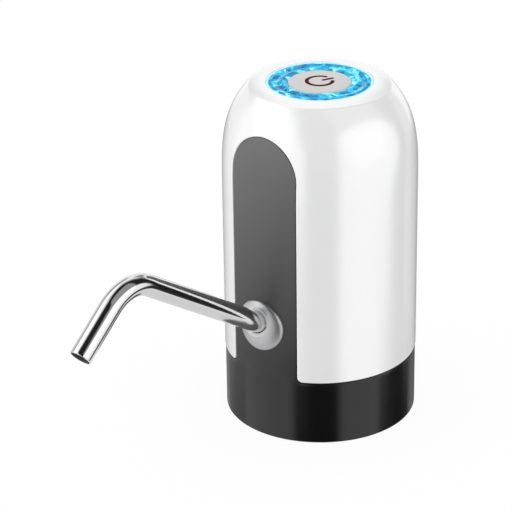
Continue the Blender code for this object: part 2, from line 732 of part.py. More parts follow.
def make_spout_holder(body, spout_line, finish):
    """Push-in socket behind the tongue: body, neck through the tongue and inner nozzle."""
    bore = SPOUT_RADIUS + GAP
    neck = bore + HOLDER_NECK_WALL
    floor = -(SPOUT_TAIL + GAP)
    nozzle_end = -(HOLDER_LENGTH + NOZZLE_LENGTH)
    profile = [(0, 0), (HOLDER_RADIUS, 0), (HOLDER_RADIUS, -HOLDER_LENGTH),
               (NOZZLE_RADIUS, -HOLDER_LENGTH), (NOZZLE_RADIUS, nozzle_end), (0, nozzle_end)]
    holder = turned("spout_holder", profile, INNER_STEPS, closed=False, finish=finish,
                    parent=spout_line)
    room = DARK_RADIUS - TONGUE_WALL - GAP
    keep_inside(holder, pin("holder_room", room, 0, BODY_HEIGHT, BODY_STEPS, parent=body))
    join(holder, pin("holder_neck", neck, -HOLDER_RADIUS - GAP, HOLDER_NECK_PROUD, INNER_STEPS,
                     parent=spout_line))
    groove = bore + O_RING_THICKNESS + GAP
    half = O_RING_THICKNESS / 2 + GAP
    passage = [(0, HOLDER_NECK_PROUD + OVERRUN), (bore, HOLDER_NECK_PROUD + OVERRUN)]
    for z in o_ring_places():
        passage += [(bore, z + half), (groove, z + half), (groove, z - half), (bore, z - half)]
    passage += [(bore, floor), (NOZZLE_BORE, floor), (NOZZLE_BORE, nozzle_end - OVERRUN),
                (0, nozzle_end - OVERRUN)]
    cut(holder, turned("holder_passage", passage, INNER_STEPS, closed=False, parent=spout_line))
    return holder


def make_o_rings(spout_line, finish):
    small = O_RING_THICKNESS / 2
    middle = SPOUT_RADIUS + GAP + small
    for i, z in enumerate(o_ring_places()):
        profile = [(middle + small * math.cos(a), z + small * math.sin(a))
                   for a in [-math.tau * k / O_RING_SIDES for k in range(O_RING_SIDES)]]
        turned(f"spout_o_ring_{i + 1}", profile, INNER_STEPS, finish=finish, parent=spout_line)


def make_collar(body, spout_line, finish):
    """Domed collar round the spout's root, seated on the tongue's round face."""
    axis = make_empty("collar_axis", body, (0, -DARK_RADIUS, SPOUT_HEIGHT),
                      (math.radians(90), 0, 0))
    sag = DARK_RADIUS - math.sqrt(DARK_RADIUS ** 2 - COLLAR_RADIUS ** 2)
    profile = [(0, COLLAR_PROUD)]
    rise = COLLAR_PROUD - COLLAR_EDGE
    width = COLLAR_RADIUS - COLLAR_FLAT_RADIUS
    for i in range(COLLAR_POINTS + 1):
        angle = math.radians(90) * (1 - i / COLLAR_POINTS)
        profile.append((COLLAR_FLAT_RADIUS + width * math.cos(angle),
                        COLLAR_EDGE + rise * math.sin(angle)))
    profile += [(COLLAR_RADIUS, -sag - OVERRUN), (0, -sag - OVERRUN)]
    collar = turned("spout_collar", profile, MID_STEPS, closed=False, finish=finish, parent=axis)
    cut(collar, pin("collar_seat", DARK_RADIUS + GAP, 0, BODY_HEIGHT, BODY_STEPS, parent=body))
    pocket = SPOUT_RADIUS + GAP + HOLDER_NECK_WALL + GAP
    pocket_end = HOLDER_NECK_PROUD + GAP
    surface = COLLAR_PROUD / math.cos(SPOUT_RISE)
    beyond = surface + COLLAR_RADIUS
    widening = COLLAR_FLARE / COLLAR_FLARE_DEPTH
    flare_end = COLLAR_MOUTH_RADIUS + widening * (COLLAR_RADIUS + COLLAR_FLARE_DEPTH)
    mouth = [(0, beyond), (flare_end, beyond), (COLLAR_MOUTH_RADIUS, surface - COLLAR_FLARE_DEPTH),
             (COLLAR_MOUTH_RADIUS, pocket_end), (pocket, pocket_end),
             (pocket, -HOLDER_LENGTH), (0, -HOLDER_LENGTH)]
    cut(collar, turned("collar_mouth", mouth, MID_STEPS, closed=False, parent=spout_line))
    return collar


def make_light_ring(body, finish):
    """Clear ring whose top is cut in two rows of crystal facets.

    Each loop of corners lies half a step round from the loop before it, so that the
    bands between them fall into triangles, as on a cut stone. The rest of the section
    is plain: two upright walls, a foot and a flange that hooks under the shell.
    """
    width = RING_RADIUS - CAP_OPENING
    rim = BODY_HEIGHT - RING_SINK
    foot = BODY_HEIGHT - RING_FOOT_HEIGHT
    flange_top = BODY_HEIGHT - RING_FLANGE_TOP
    flange = RING_RADIUS + RING_FLANGE_WIDTH
    wide_bore = CAP_FLANGE_RADIUS + GAP
    bore_step = BODY_HEIGHT - CAP_SKIRT + GAP
    # radius, height and whether the loop is turned by half a step
    loops = [
        (CAP_OPENING, rim, 0),
        (CAP_OPENING + width / 4, BODY_HEIGHT, 1),
        (CAP_OPENING + width / 2, BODY_HEIGHT - RING_DIP, 0),
        (RING_RADIUS - width / 4, BODY_HEIGHT, 1),
        (RING_RADIUS, rim, 0),
        (RING_RADIUS, flange_top, 0),
        (flange, flange_top, 0),
        (flange, foot, 0),
        (wide_bore, foot, 0),
        (wide_bore, bore_step, 0),
        (CAP_OPENING, bore_step, 0),
    ]
    bm = bmesh.new()
    rows = []
    for radius, height, half in loops:
        spots = round_spots(radius, RING_FACETS, half * math.pi / RING_FACETS)
        rows.append([bm.verts.new((x, y, height)) for x, y in spots])
    for k, row in enumerate(rows):
        following = rows[(k + 1) % len(rows)]
        turned_in = loops[k][2] > loops[(k + 1) % len(rows)][2]
        turned_out = loops[k][2] < loops[(k + 1) % len(rows)][2]
        for i in range(RING_FACETS):
            j = (i + 1) % RING_FACETS
            if turned_out:
                bm.faces.new((row[i], following[i], row[j]))
                bm.faces.new((row[j], following[i], following[j]))
            elif turned_in:
                bm.faces.new((row[i], following[i], following[j]))
                bm.faces.new((row[i], following[j], row[j]))
            else:
                bm.faces.new((row[i], following[i], following[j], row[j]))
    bmesh.ops.recalc_face_normals(bm, faces=bm.faces)
    mesh = bpy.data.meshes.new("light_ring")
    bm.to_mesh(mesh)
    bm.free()
    return place("light_ring", mesh, finish=finish, parent=body)


def make_button(body, finish, switch_finish, plunger_finish):
    """Push button, the plunger that it presses and the small switch below."""
    skirt_foot = BODY_HEIGHT - CAP_SKIRT
    flange_foot = skirt_foot - CAP_FLANGE_HEIGHT
    ceiling = BODY_HEIGHT - CAP_THICKNESS
    switch_top = TOP_BOARD_TOP + GAP + SWITCH_HEIGHT
    plunger_top = switch_top + PLUNGER_PROUD
    cap = [
        (0, BODY_HEIGHT),
        (CAP_RADIUS / 2, BODY_HEIGHT - CAP_CROWN / 4),
        (CAP_RADIUS - CAP_EDGE, BODY_HEIGHT - CAP_CROWN),
        (CAP_RADIUS, BODY_HEIGHT - CAP_CROWN - CAP_EDGE),
        (CAP_RADIUS, skirt_foot),
        (CAP_FLANGE_RADIUS, skirt_foot),
        (CAP_FLANGE_RADIUS, flange_foot),
        (CAP_RADIUS - CAP_WALL, flange_foot),
        (CAP_RADIUS - CAP_WALL, ceiling),
        (STEM_RADIUS, ceiling),
        (STEM_RADIUS, plunger_top + GAP),
        (0, plunger_top + GAP),
    ]
    turned("button_cap", cap, MID_STEPS, closed=False, finish=finish, parent=body)
    pin("switch_plunger", PLUNGER_RADIUS, plunger_top - PLUNGER_LENGTH, plunger_top, SMALL_STEPS,
        finish=plunger_finish, parent=body)
    switch = block("tact_switch", (SWITCH_WIDTH, SWITCH_WIDTH, SWITCH_HEIGHT),
                   (0, 0, switch_top - SWITCH_HEIGHT / 2), finish=switch_finish, parent=body)
    well = plunger_top - PLUNGER_LENGTH - CAP_TRAVEL - GAP
    cut(switch, pin("switch_well", PLUNGER_RADIUS + GAP, well, switch_top + OVERRUN, SMALL_STEPS,
                    parent=body))


def make_top_board(body, board_finish, led_finish, screw_finish):
    """Round board under the button, its lamps and the screws that hold it up."""
    foot = TOP_BOARD_TOP - BOARD_THICKNESS
    board = pin("top_board", TOP_BOARD_RADIUS, foot, TOP_BOARD_TOP, INNER_STEPS,
                finish=board_finish, parent=body)
    ring_middle = (RING_RADIUS + CAP_OPENING) / 2
    for i, (x, y) in enumerate(round_spots(ring_middle, LED_COUNT, math.pi / LED_COUNT)):
        block(f"led_{i + 1}", (LED_WIDTH, LED_WIDTH, LED_HEIGHT),
              (0, 0, TOP_BOARD_TOP + GAP + LED_HEIGHT / 2), finish=led_finish, parent=body,
              at=(x, y, 0))
    tip = foot - GAP + BOARD_SCREW_LENGTH
    profile = [
        (0, tip),
        (BOARD_SCREW_RADIUS, tip - BOARD_SCREW_RADIUS),
        (BOARD_SCREW_RADIUS, foot - GAP),
        (BOARD_SCREW_HEAD, foot - GAP),
        (BOARD_SCREW_HEAD, foot - GAP - BOARD_SCREW_HEAD_HEIGHT),
        (0, foot - GAP - BOARD_SCREW_HEAD_HEIGHT),
    ]
    for i, (x, y) in enumerate(board_screw_spots()):
        cut(board, pin(f"board_hole_{i + 1}", BOARD_SCREW_RADIUS + GAP, foot - OVERRUN,
                       TOP_BOARD_TOP + OVERRUN, SMALL_STEPS, parent=body, at=(x, y, 0)))
        turned(f"board_screw_{i + 1}", profile, SMALL_STEPS, closed=False, finish=screw_finish,
               parent=body, at=(x, y, 0))


def make_pump(axis, plastic, rubber):
    """Valve head with two nozzles, diaphragm, wobble plate, crank case and crank."""
    head_top = PUMP_FOOT + VALVE_HEAD_HEIGHT
    head = pin("valve_head", PUMP_RADIUS, PUMP_FOOT, head_top, INNER_STEPS, finish=plastic,
               parent=axis)
    for side in (-1, 1):
        join(head, pin(f"nozzle_{side + 2}", NOZZLE_RADIUS, PUMP_FOOT - NOZZLE_LENGTH,
                       PUMP_FOOT + VALVE_HEAD_HEIGHT / 4, SMALL_STEPS, parent=axis,
                       at=(side * NOZZLE_SPREAD, 0, 0)))
    for side in (-1, 1):
        cut(head, pin(f"nozzle_bore_{side + 2}", NOZZLE_BORE, PUMP_FOOT - NOZZLE_LENGTH - OVERRUN,
                      PUMP_FOOT + VALVE_HEAD_HEIGHT / 2, SMALL_STEPS, parent=axis,
                      at=(side * NOZZLE_SPREAD, 0, 0)))

    sheet_top = DIAPHRAGM_FOOT + DIAPHRAGM_THICKNESS
    sheet = pin("diaphragm", PUMP_RADIUS, DIAPHRAGM_FOOT, sheet_top, INNER_STEPS, finish=rubber,
                parent=axis)
    for i, (x, y) in enumerate(round_spots(CUP_CIRCLE, DIAPHRAGM_CUPS)):
        join(sheet, pin(f"cup_{i + 1}", CUP_RADIUS, DIAPHRAGM_FOOT + DIAPHRAGM_THICKNESS / 2,
                        sheet_top + CUP_HEIGHT, SMALL_STEPS, parent=axis, at=(x, y, 0)))

    throw = CRANK_THROW + CRANK_PIN_RADIUS + GAP
    plate_top = WOBBLE_FOOT + WOBBLE_THICKNESS
    hub_top = plate_top + WOBBLE_HUB_HEIGHT
    turned("wobble_plate", [(WOBBLE_HUB_RADIUS, hub_top), (WOBBLE_HUB_RADIUS, plate_top),
                            (WOBBLE_RADIUS, plate_top), (WOBBLE_RADIUS, WOBBLE_FOOT),
                            (throw, WOBBLE_FOOT), (throw, hub_top)],
           INNER_STEPS, finish=plastic, parent=axis)

    case_top = CRANK_CASE_FOOT + CRANK_CASE_HEIGHT
    bore = PUMP_RADIUS - CRANK_CASE_WALL
    hole = SHAFT_RADIUS + GAP
    turned("crank_case", [(PUMP_RADIUS, case_top), (PUMP_RADIUS, CRANK_CASE_FOOT),
                          (bore, CRANK_CASE_FOOT), (bore, case_top - CRANK_CASE_WALL),
                          (hole, case_top - CRANK_CASE_WALL), (hole, case_top)],
           INNER_STEPS, finish=plastic, parent=axis)

    crank_foot = CRANK_TOP - CRANK_HEIGHT
    seat = crank_foot + CRANK_HEIGHT / 3
    crank = turned("crank", [(0, seat), (hole, seat), (hole, CRANK_TOP), (CRANK_RADIUS, CRANK_TOP),
                             (CRANK_RADIUS, crank_foot), (0, crank_foot)],
                   INNER_STEPS, closed=False, finish=plastic, parent=axis)
    join(crank, pin("crank_pin", CRANK_PIN_RADIUS, crank_foot - CRANK_PIN_LENGTH,
                    crank_foot + CRANK_HEIGHT / 4, SMALL_STEPS, parent=axis,
                    at=(CRANK_THROW, 0, 0)))


def make_motor(axis, can_finish, steel, magnet_finish, plastic):
    """Motor: can, two magnets, rotor with its shaft, and end cap."""
    top = MOTOR_FOOT + MOTOR_LENGTH
    bore = MOTOR_RADIUS - MOTOR_WALL
    hole = SHAFT_RADIUS + GAP
    turned("motor_can", [(MOTOR_RADIUS, top), (MOTOR_RADIUS, MOTOR_FOOT), (hole, MOTOR_FOOT),
                         (hole, MOTOR_FOOT + MOTOR_WALL), (bore, MOTOR_FOOT + MOTOR_WALL),
                         (bore, top)],
           INNER_STEPS, finish=can_finish, parent=axis)

    middle = MOTOR_FOOT + MOTOR_LENGTH * MAGNET_PLACE_SHARE
    outer = bore - GAP
    for side in (-1, 1):
        magnet = sleeve(f"motor_magnet_{1 if side < 0 else 2}", outer, outer - MAGNET_WALL,
                        middle - MAGNET_LENGTH / 2, middle + MAGNET_LENGTH / 2, INNER_STEPS,
                        finish=magnet_finish, parent=axis)
        reach = MOTOR_RADIUS + OVERRUN
        keep_inside(magnet, block(f"magnet_half_{side + 2}", (reach, 2 * reach, MOTOR_LENGTH),
                                  (side * (MAGNET_SPLIT / 2 + reach / 2), 0, middle), parent=axis))

    shaft_foot = CRANK_TOP - CRANK_HEIGHT * 2 / 3 + GAP
    shaft_top = top + SHAFT_TAIL
    core_foot = middle - ARMATURE_LENGTH / 2
    core_top = middle + ARMATURE_LENGTH / 2
    ring_foot = core_top + COMMUTATOR_LENGTH / 2
    ring_top = ring_foot + COMMUTATOR_LENGTH
    turned("motor_rotor", [(0, shaft_top), (SHAFT_RADIUS, shaft_top), (SHAFT_RADIUS, ring_top),
                           (COMMUTATOR_RADIUS, ring_top), (COMMUTATOR_RADIUS, ring_foot),
                           (SHAFT_RADIUS, ring_foot), (SHAFT_RADIUS, core_top),
                           (ARMATURE_RADIUS, core_top), (ARMATURE_RADIUS, core_foot),
                           (SHAFT_RADIUS, core_foot), (SHAFT_RADIUS, shaft_foot),
                           (0, shaft_foot)],
           INNER_STEPS, closed=False, finish=steel, parent=axis)

    cap_foot = top - MOTOR_CAP_THICKNESS
    cap = sleeve("motor_end_cap", outer, hole, cap_foot, top, INNER_STEPS, finish=plastic,
                 parent=axis)
    root = top - MOTOR_CAP_THICKNESS / 2
    size = (TERMINAL_WIDTH, TERMINAL_THICKNESS, top + TERMINAL_HEIGHT - root)
    for side in (-1, 1):
        join(cap, block(f"terminal_{side + 2}", size, (side * bore / 2, 0, root + size[2] / 2),
                        parent=axis))


def make_cradle(axis, finish):
    """Ring on three legs that carries the pump above the deck."""
    bore = PUMP_RADIUS + GAP
    rim = bore + CRADLE_WALL
    seat = PUMP_FOOT - GAP
    ledge = bore - CRADLE_LEDGE_WIDTH
    foot = seat - CRADLE_LEDGE_THICKNESS
    cradle = turned("pump_cradle", [(rim, foot + CRADLE_HEIGHT), (rim, foot), (ledge, foot),
                                    (ledge, seat), (bore, seat), (bore, foot + CRADLE_HEIGHT)],
                    INNER_STEPS, finish=finish, parent=axis)
    floor = DECK_TOP + GAP
    foot_top = floor + CRADLE_FOOT_HEIGHT
    leg_top = seat - CRADLE_LEDGE_THICKNESS / 2   # inside the ledge that carries the pump
    leg = [(0, leg_top), (CRADLE_LEG_RADIUS, leg_top), (CRADLE_LEG_RADIUS, foot_top),
           (CRADLE_FOOT_RADIUS, foot_top), (CRADLE_FOOT_RADIUS, floor), (0, floor)]
    circle = rim - CRADLE_LEG_RADIUS
    for i, angle in enumerate(CRADLE_LEG_ANGLES):
        join(cradle, turned(f"cradle_leg_{i + 1}", leg, SMALL_STEPS, closed=False, parent=axis,
                            at=(circle * math.cos(angle), circle * math.sin(angle), 0)))


def make_battery(axis, sleeve_finish, tray_finish):
    """Round cell and the open tray that it stands in."""
    floor = DECK_TOP + GAP
    foot = BATTERY_FOOT
    top = foot + BATTERY_LENGTH
    turned("battery", [(0, top + BATTERY_CAP_HEIGHT), (BATTERY_CAP_RADIUS, top + BATTERY_CAP_HEIGHT),
                       (BATTERY_CAP_RADIUS, top), (BATTERY_RADIUS - BATTERY_EDGE, top),
                       (BATTERY_RADIUS, top - BATTERY_EDGE), (BATTERY_RADIUS, foot + BATTERY_EDGE),
                       (BATTERY_RADIUS - BATTERY_EDGE, foot), (0, foot)],
           INNER_STEPS, closed=False, finish=sleeve_finish, parent=axis)
    bore = BATTERY_RADIUS + GAP
    rim = TRAY_RADIUS
    tray = turned("battery_tray", [(0, floor + TRAY_FLOOR), (bore, floor + TRAY_FLOOR),
                                   (bore, floor + TRAY_HEIGHT), (rim, floor + TRAY_HEIGHT),
                                   (rim, floor), (0, floor)],
                  INNER_STEPS, closed=False, finish=tray_finish, parent=axis)
    reach = rim + OVERRUN
    edge = -rim * TRAY_OPEN_SHARE
    height = TRAY_HEIGHT - TRAY_LIP + OVERRUN
    cut(tray, block("tray_opening", (reach + edge, 2 * reach, height),
                    ((edge - reach) / 2, 0, floor + TRAY_LIP + height / 2), parent=axis))


def make_hoses(body, finish):
    """Inlet tube from the barb to the pump, and outlet tube from the pump to the spout."""
    pump_end = PUMP_FOOT - GAP
    hollow_tube("inlet_tube", [Vector((0, 0, HOSE_SEAT + GAP)), Vector((0, 0, pump_end))],
                HOSE_RADIUS, HOSE_BORE, HOSE_RESOLUTION, finish=finish, parent=body)

    inward = Vector((0, math.cos(SPOUT_RISE), -math.sin(SPOUT_RISE)))
    root = Vector((0, -DARK_RADIUS, SPOUT_HEIGHT))
    holder_end = root + inward * (HOLDER_LENGTH + GAP)
    nozzle_end = root + inward * (HOLDER_LENGTH + NOZZLE_LENGTH)
    outlet_x = PUMP_PLACE_X - NOZZLE_SPREAD
    pump_nozzle = Vector((outlet_x, 0, PUMP_FOOT - NOZZLE_LENGTH))
    down = Vector((0, 0, -HOSE_PULL))
    bend = bezier(pump_nozzle, pump_nozzle + down, nozzle_end + inward * HOSE_PULL, nozzle_end,
                  HOSE_POINTS)
    route = [Vector((outlet_x, 0, pump_end))] + bend + [holder_end]
    hollow_tube("outlet_tube", route, HOSE_RADIUS, HOSE_BORE, HOSE_RESOLUTION, finish=finish,
                parent=body)


def make_charger(body, board_finish, metal):
    """Upright board at the back and the charging socket on it."""
    floor = DECK_TOP + GAP
    block("charge_board", (CHARGE_BOARD_WIDTH, BOARD_THICKNESS, CHARGE_BOARD_HEIGHT),
          (0, CHARGE_BOARD_PLACE_Y, floor + CHARGE_BOARD_HEIGHT / 2), finish=board_finish,
          parent=body)
    back = CHARGE_BOARD_PLACE_Y + BOARD_THICKNESS / 2 + GAP
    middle = back + PORT_LENGTH / 2
    port = block("charge_socket", (PORT_WIDTH, PORT_LENGTH, PORT_THICKNESS),
                 (0, middle, PORT_HEIGHT), finish=metal, parent=body)
    hollow = (PORT_WIDTH - 2 * PORT_WALL, PORT_LENGTH, PORT_THICKNESS - 2 * PORT_WALL)
    mouth = block("socket_mouth", hollow, (0, middle + PORT_FLOOR, PORT_HEIGHT), parent=body)
    cut(port, mouth)
    blade = (TONGUE_BLADE_WIDTH, TONGUE_BLADE_LENGTH + PORT_FLOOR / 2, TONGUE_BLADE_THICKNESS)
    join(port, block("socket_blade", blade, (0, back + PORT_FLOOR / 2 + blade[1] / 2, PORT_HEIGHT),
                     parent=body))


def make_lead(name, start, end, body, finish):
    """A wire that leaves its start upwards and meets the round board from below."""
    pull = Vector((0, 0, LEAD_PULL))
    route = bezier(start, start + pull, end - pull, end, LEAD_POINTS)
    tube(name, route, LEAD_RADIUS, LEAD_RESOLUTION, finish=finish, parent=body)


def make_leads(body, red, black):
    terminal = (MOTOR_RADIUS - MOTOR_WALL) / 2
    terminal_top = MOTOR_FOOT + MOTOR_LENGTH + TERMINAL_HEIGHT + GAP
    cell_top = BATTERY_FOOT + BATTERY_LENGTH + BATTERY_CAP_HEIGHT + GAP
    beside_cell = BATTERY_PLACE_X - BATTERY_RADIUS - GAP - LEAD_RADIUS
    above_lip = DECK_TOP + GAP + TRAY_LIP + GAP
    board_top = DECK_TOP + GAP + CHARGE_BOARD_HEIGHT + GAP
    for i, (side, finish) in enumerate(((-1, red), (1, black))):
        x = PUMP_PLACE_X + side * terminal
        make_lead(f"motor_lead_{i + 1}", Vector((x, 0, terminal_top)),
                  Vector((x, LEAD_SHIFT, LEAD_TOP)), body, finish)
        x = side * CHARGE_LEAD_SPREAD
        make_lead(f"charge_lead_{i + 1}", Vector((x, CHARGE_BOARD_PLACE_Y, board_top)),
                  Vector((x, CHARGE_BOARD_PLACE_Y - CHARGE_LEAD_INSET, LEAD_TOP)), body, finish)
    make_lead("battery_lead_1", Vector((BATTERY_PLACE_X, 0, cell_top)),
              Vector((BATTERY_PLACE_X - LEAD_SHIFT, LEAD_SHIFT, LEAD_TOP)), body, red)
    make_lead("battery_lead_2", Vector((beside_cell, 0, above_lip)),
              Vector((beside_cell, -LEAD_SHIFT, LEAD_TOP)), body, black)


def finish_parts():
    """Work the modifiers into plain meshes, smooth where round and sharp at real edges."""
    bpy.context.view_layer.update()
    graph = bpy.context.evaluated_depsgraph_get()
    solids = [obj for obj in parts.objects if obj.type == 'MESH']
    meshes = [bpy.data.meshes.new_from_object(obj.evaluated_get(graph)) for obj in solids]
    for obj, mesh in zip(solids, meshes):
        obj.modifiers.clear()
        finish = obj.data.materials[0]
        obj.data = mesh
        mesh.name = obj.name
        mesh.materials.clear()
        mesh.materials.append(finish)
        mesh.polygons.foreach_set("material_index", [0] * len(mesh.polygons))
        mesh.shade_smooth()
        mesh.set_sharp_from_angle(angle=SHARP_ANGLE)


def main():
    global parts, cutters
    clear_scene()
    parts = make_collection("bottle_water_pump")
    cutters = make_collection("cutters")

    white = make_material("white_gloss_plastic", (0.86, 0.86, 0.86), 0.25)
    dark = make_material("dark_satin_plastic", (0.055, 0.053, 0.055), 0.35)
    steel = make_material("polished_steel", (0.80, 0.80, 0.80), 0.12, 1.0)
    satin = make_material("satin_chrome", (0.52, 0.52, 0.53), 0.30, 1.0)
    crystal = make_material("blue_crystal", (0.03, 0.33, 0.72), 0.08)
    button = make_material("pearl_button", (0.60, 0.64, 0.60), 0.35)
    inner = make_material("inner_plastic", (0.70, 0.70, 0.68), 0.5)
    grey = make_material("pump_plastic", (0.10, 0.10, 0.11), 0.5)
    silicone = make_material("clear_silicone", (0.75, 0.76, 0.76), 0.45)
    rubber = make_material("black_rubber", (0.02, 0.02, 0.02), 0.7)
    board = make_material("green_board", (0.02, 0.16, 0.07), 0.5)
    zinc = make_material("zinc_screw", (0.55, 0.55, 0.56), 0.35, 1.0)
    cell = make_material("cell_wrap", (0.05, 0.16, 0.45), 0.4)
    red = make_material("red_lead", (0.50, 0.02, 0.02), 0.5)
    lamp = make_material("lamp", (0.85, 0.85, 0.75), 0.3)
    ferrite = make_material("ferrite", (0.06, 0.06, 0.06), 0.7)

    body = make_empty("body_axis", None, (0, BODY_PLACE_Y, 0))
    pump_axis = make_empty("pump_axis", body, (PUMP_PLACE_X, 0, 0))
    cell_axis = make_empty("cell_axis", body, (BATTERY_PLACE_X, 0, 0))
    spout_line = make_empty("spout_line", body, (0, -DARK_RADIUS, SPOUT_HEIGHT),
                            (math.radians(90) - SPOUT_RISE, 0, 0))

    make_shell(body, white)
    make_base(body, dark)
    make_neck_ring(body, silicone)
    make_inlet_barb(body, inner)
    make_base_screws(body, zinc)
    make_spout(spout_line, steel)
    make_spout_holder(body, spout_line, inner)
    make_o_rings(spout_line, rubber)
    make_collar(body, spout_line, satin)
    make_light_ring(body, crystal)
    make_button(body, button, grey, inner)
    make_top_board(body, board, lamp, zinc)
    make_pump(pump_axis, grey, rubber)
    make_motor(pump_axis, zinc, steel, ferrite, inner)
    make_cradle(pump_axis, inner)
    make_battery(cell_axis, cell, inner)
    make_hoses(body, silicone)
    make_charger(body, board, zinc)
    make_leads(body, red, rubber)
    finish_parts()


main()
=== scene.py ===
# %% [markdown]
# # Bottled water pump
# This battery pump sits on the neck of a large water bottle. It is a white domed shell on a
# dark base, with a dark tongue that fills an arched slot, a bent steel spout, and a push
# button in a ring of blue crystal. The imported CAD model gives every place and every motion.
# Here each surface that shows gets its real form and finish, in the same frame, in metres.

# %% Load the CAD frame
import json
import math

import bmesh
import bpy
import numpy as np
from mathutils import Matrix, Vector


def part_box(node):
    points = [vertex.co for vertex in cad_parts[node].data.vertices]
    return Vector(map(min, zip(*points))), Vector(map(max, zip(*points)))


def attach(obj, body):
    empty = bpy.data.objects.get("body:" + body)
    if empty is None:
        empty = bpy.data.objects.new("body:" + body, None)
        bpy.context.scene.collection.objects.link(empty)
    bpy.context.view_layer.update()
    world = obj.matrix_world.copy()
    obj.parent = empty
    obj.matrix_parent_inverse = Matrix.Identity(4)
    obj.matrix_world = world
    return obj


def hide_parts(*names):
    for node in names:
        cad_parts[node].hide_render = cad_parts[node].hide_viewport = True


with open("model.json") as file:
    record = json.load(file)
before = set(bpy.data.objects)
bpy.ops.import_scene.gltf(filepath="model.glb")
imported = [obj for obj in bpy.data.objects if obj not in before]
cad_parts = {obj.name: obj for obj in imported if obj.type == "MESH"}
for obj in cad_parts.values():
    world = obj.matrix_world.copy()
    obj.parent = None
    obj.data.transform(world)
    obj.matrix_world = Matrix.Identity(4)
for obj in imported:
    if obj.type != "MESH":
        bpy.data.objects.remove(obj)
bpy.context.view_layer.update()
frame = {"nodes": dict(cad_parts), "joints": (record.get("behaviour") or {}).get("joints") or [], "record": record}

# %% [markdown]
# Sizes that the new surfaces share come from the boxes of the CAD nodes, so that a surface
# always lies where its solid is. Only what a box can't tell, such as the curve of the dome,
# is written here again. X is to the right, -Y is the way the spout points. GAP lies between
# the shell and the base, FINE_GAP round the light ring and the button.

# %% Places and sizes from the frame
MM = 0.001
shell_low, shell_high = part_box("outer_shell")
BODY_RADIUS = (shell_high.x - shell_low.x) / 2
BODY_Y = shell_high.y - BODY_RADIUS
BODY_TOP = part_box("button_cap")[1].z
SEAM = shell_low.z
GAP, FINE_GAP, DARK_INSET = 0.3 * MM, 0.1 * MM, 0.2 * MM
CREASE_INSET, TOP_RIM = 10.3 * MM, 7.0 * MM
RING_RADIUS = BODY_RADIUS - CREASE_INSET - TOP_RIM
spout_joint = next(j for j in frame["joints"] if j["name"] == "spout_swivel")
print("body radius", round(BODY_RADIUS, 5), "axis y", round(BODY_Y, 5), "seam", round(SEAM, 5))

# %% [markdown]
# A new piece is a grid of points: rows and columns that a formula fills in whole, with
# four-sided faces between neighbours. It can close on itself in either direction, so a tube is
# closed one way and a hollow ring both ways. Where a row shrinks to one point the doubles are
# merged. The rows of faces lie in line with the form, and so a glossy surface shades evenly.

# %% Helpers that make a piece from grids
MERGE = 0.001 * MM


def grid_faces(rows, columns, close_rows=False, close_columns=False, first=0):
    """Corner numbers of the faces between neighbouring grid points.

    Point (i, j) has number i * columns + j; a face takes (i, j), (i, j + 1), (i + 1, j + 1)
    and (i + 1, j), with the numbers taken round where the grid closes.
    """
    i, j = np.meshgrid(np.arange(rows if close_rows else rows - 1),
                       np.arange(columns if close_columns else columns - 1), indexing="ij")
    after_i, after_j = (i + 1) % rows, (j + 1) % columns
    corners = [i * columns + j, i * columns + after_j, after_i * columns + after_j,
               after_i * columns + j]
    return first + np.stack(corners, axis=-1).reshape(-1, 4)


def welded(name, points, faces):
    """A mesh with its doubles merged, no face without area, and all faces turned outwards."""
    mesh = bpy.data.meshes.new(name)
    mesh.from_pydata(points.tolist(), [], faces.tolist())
    bm = bmesh.new()
    bm.from_mesh(mesh)
    bmesh.ops.remove_doubles(bm, verts=bm.verts, dist=MERGE)
    bmesh.ops.dissolve_degenerate(bm, edges=bm.edges, dist=MERGE)
    bmesh.ops.recalc_face_normals(bm, faces=bm.faces)
    bm.to_mesh(mesh)
    bm.free()
    return mesh


def add_object(name, data):
    """A new object in the scene."""
    obj = bpy.data.objects.new(name, data)
    bpy.context.scene.collection.objects.link(obj)
    return obj


def hang_piece(name, mesh, body, slot, stands_for, sharp=None):
    """Give a mesh its finish and hang it on its CAD body; edges under sharp are smooth."""
    if sharp:
        mesh.shade_smooth()
        mesh.set_sharp_from_angle(angle=math.radians(sharp))
    mesh.materials.clear()
    mesh.materials.append(finishes[slot])
    obj = add_object(name, mesh)
    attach(obj, body)
    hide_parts(*stands_for)
    print(f"{name}: {len(mesh.polygons)} faces, {len(mesh.vertices)} points")
    return obj


def make_piece(name, grids, *where, sharp=40):
    """Weld grids into one piece; each is (points, close_rows, close_columns).

    The points have the shape (rows, columns, 3). What comes after them goes to hang_piece.
    """
    points, faces, first = [], [], 0
    for grid, close_rows, close_columns in grids:
        rows, columns = grid.shape[:2]
        points.append(grid.reshape(-1, 3))
        faces.append(grid_faces(rows, columns, close_rows, close_columns, first))
        first += rows * columns
    mesh = welded(name, np.concatenate(points), np.concatenate(faces))
    return hang_piece(name, mesh, *where, sharp)

# %% [markdown]
# Materials and the world are made of nodes. These helpers add a node and hand back its output,
# so a formula of nodes reads like a formula of numbers.

# %% Helpers that add nodes
def set_inputs(tree, node, values):
    """Give inputs of a node a constant each, or the output of another node."""
    for name, value in values.items():
        if isinstance(value, bpy.types.NodeSocket):
            tree.links.new(value, node.inputs[name])
        else:
            node.inputs[name].default_value = value


def add_node(tree, kind, values):
    """One shader node with these inputs."""
    node = tree.nodes.new("ShaderNode" + kind)
    set_inputs(tree, node, values)
    return node


def math_node(tree, operation, *values):
    node = tree.nodes.new("ShaderNodeMath")
    node.operation = operation
    set_inputs(tree, node, dict(enumerate(values)))
    return node.outputs["Value"]


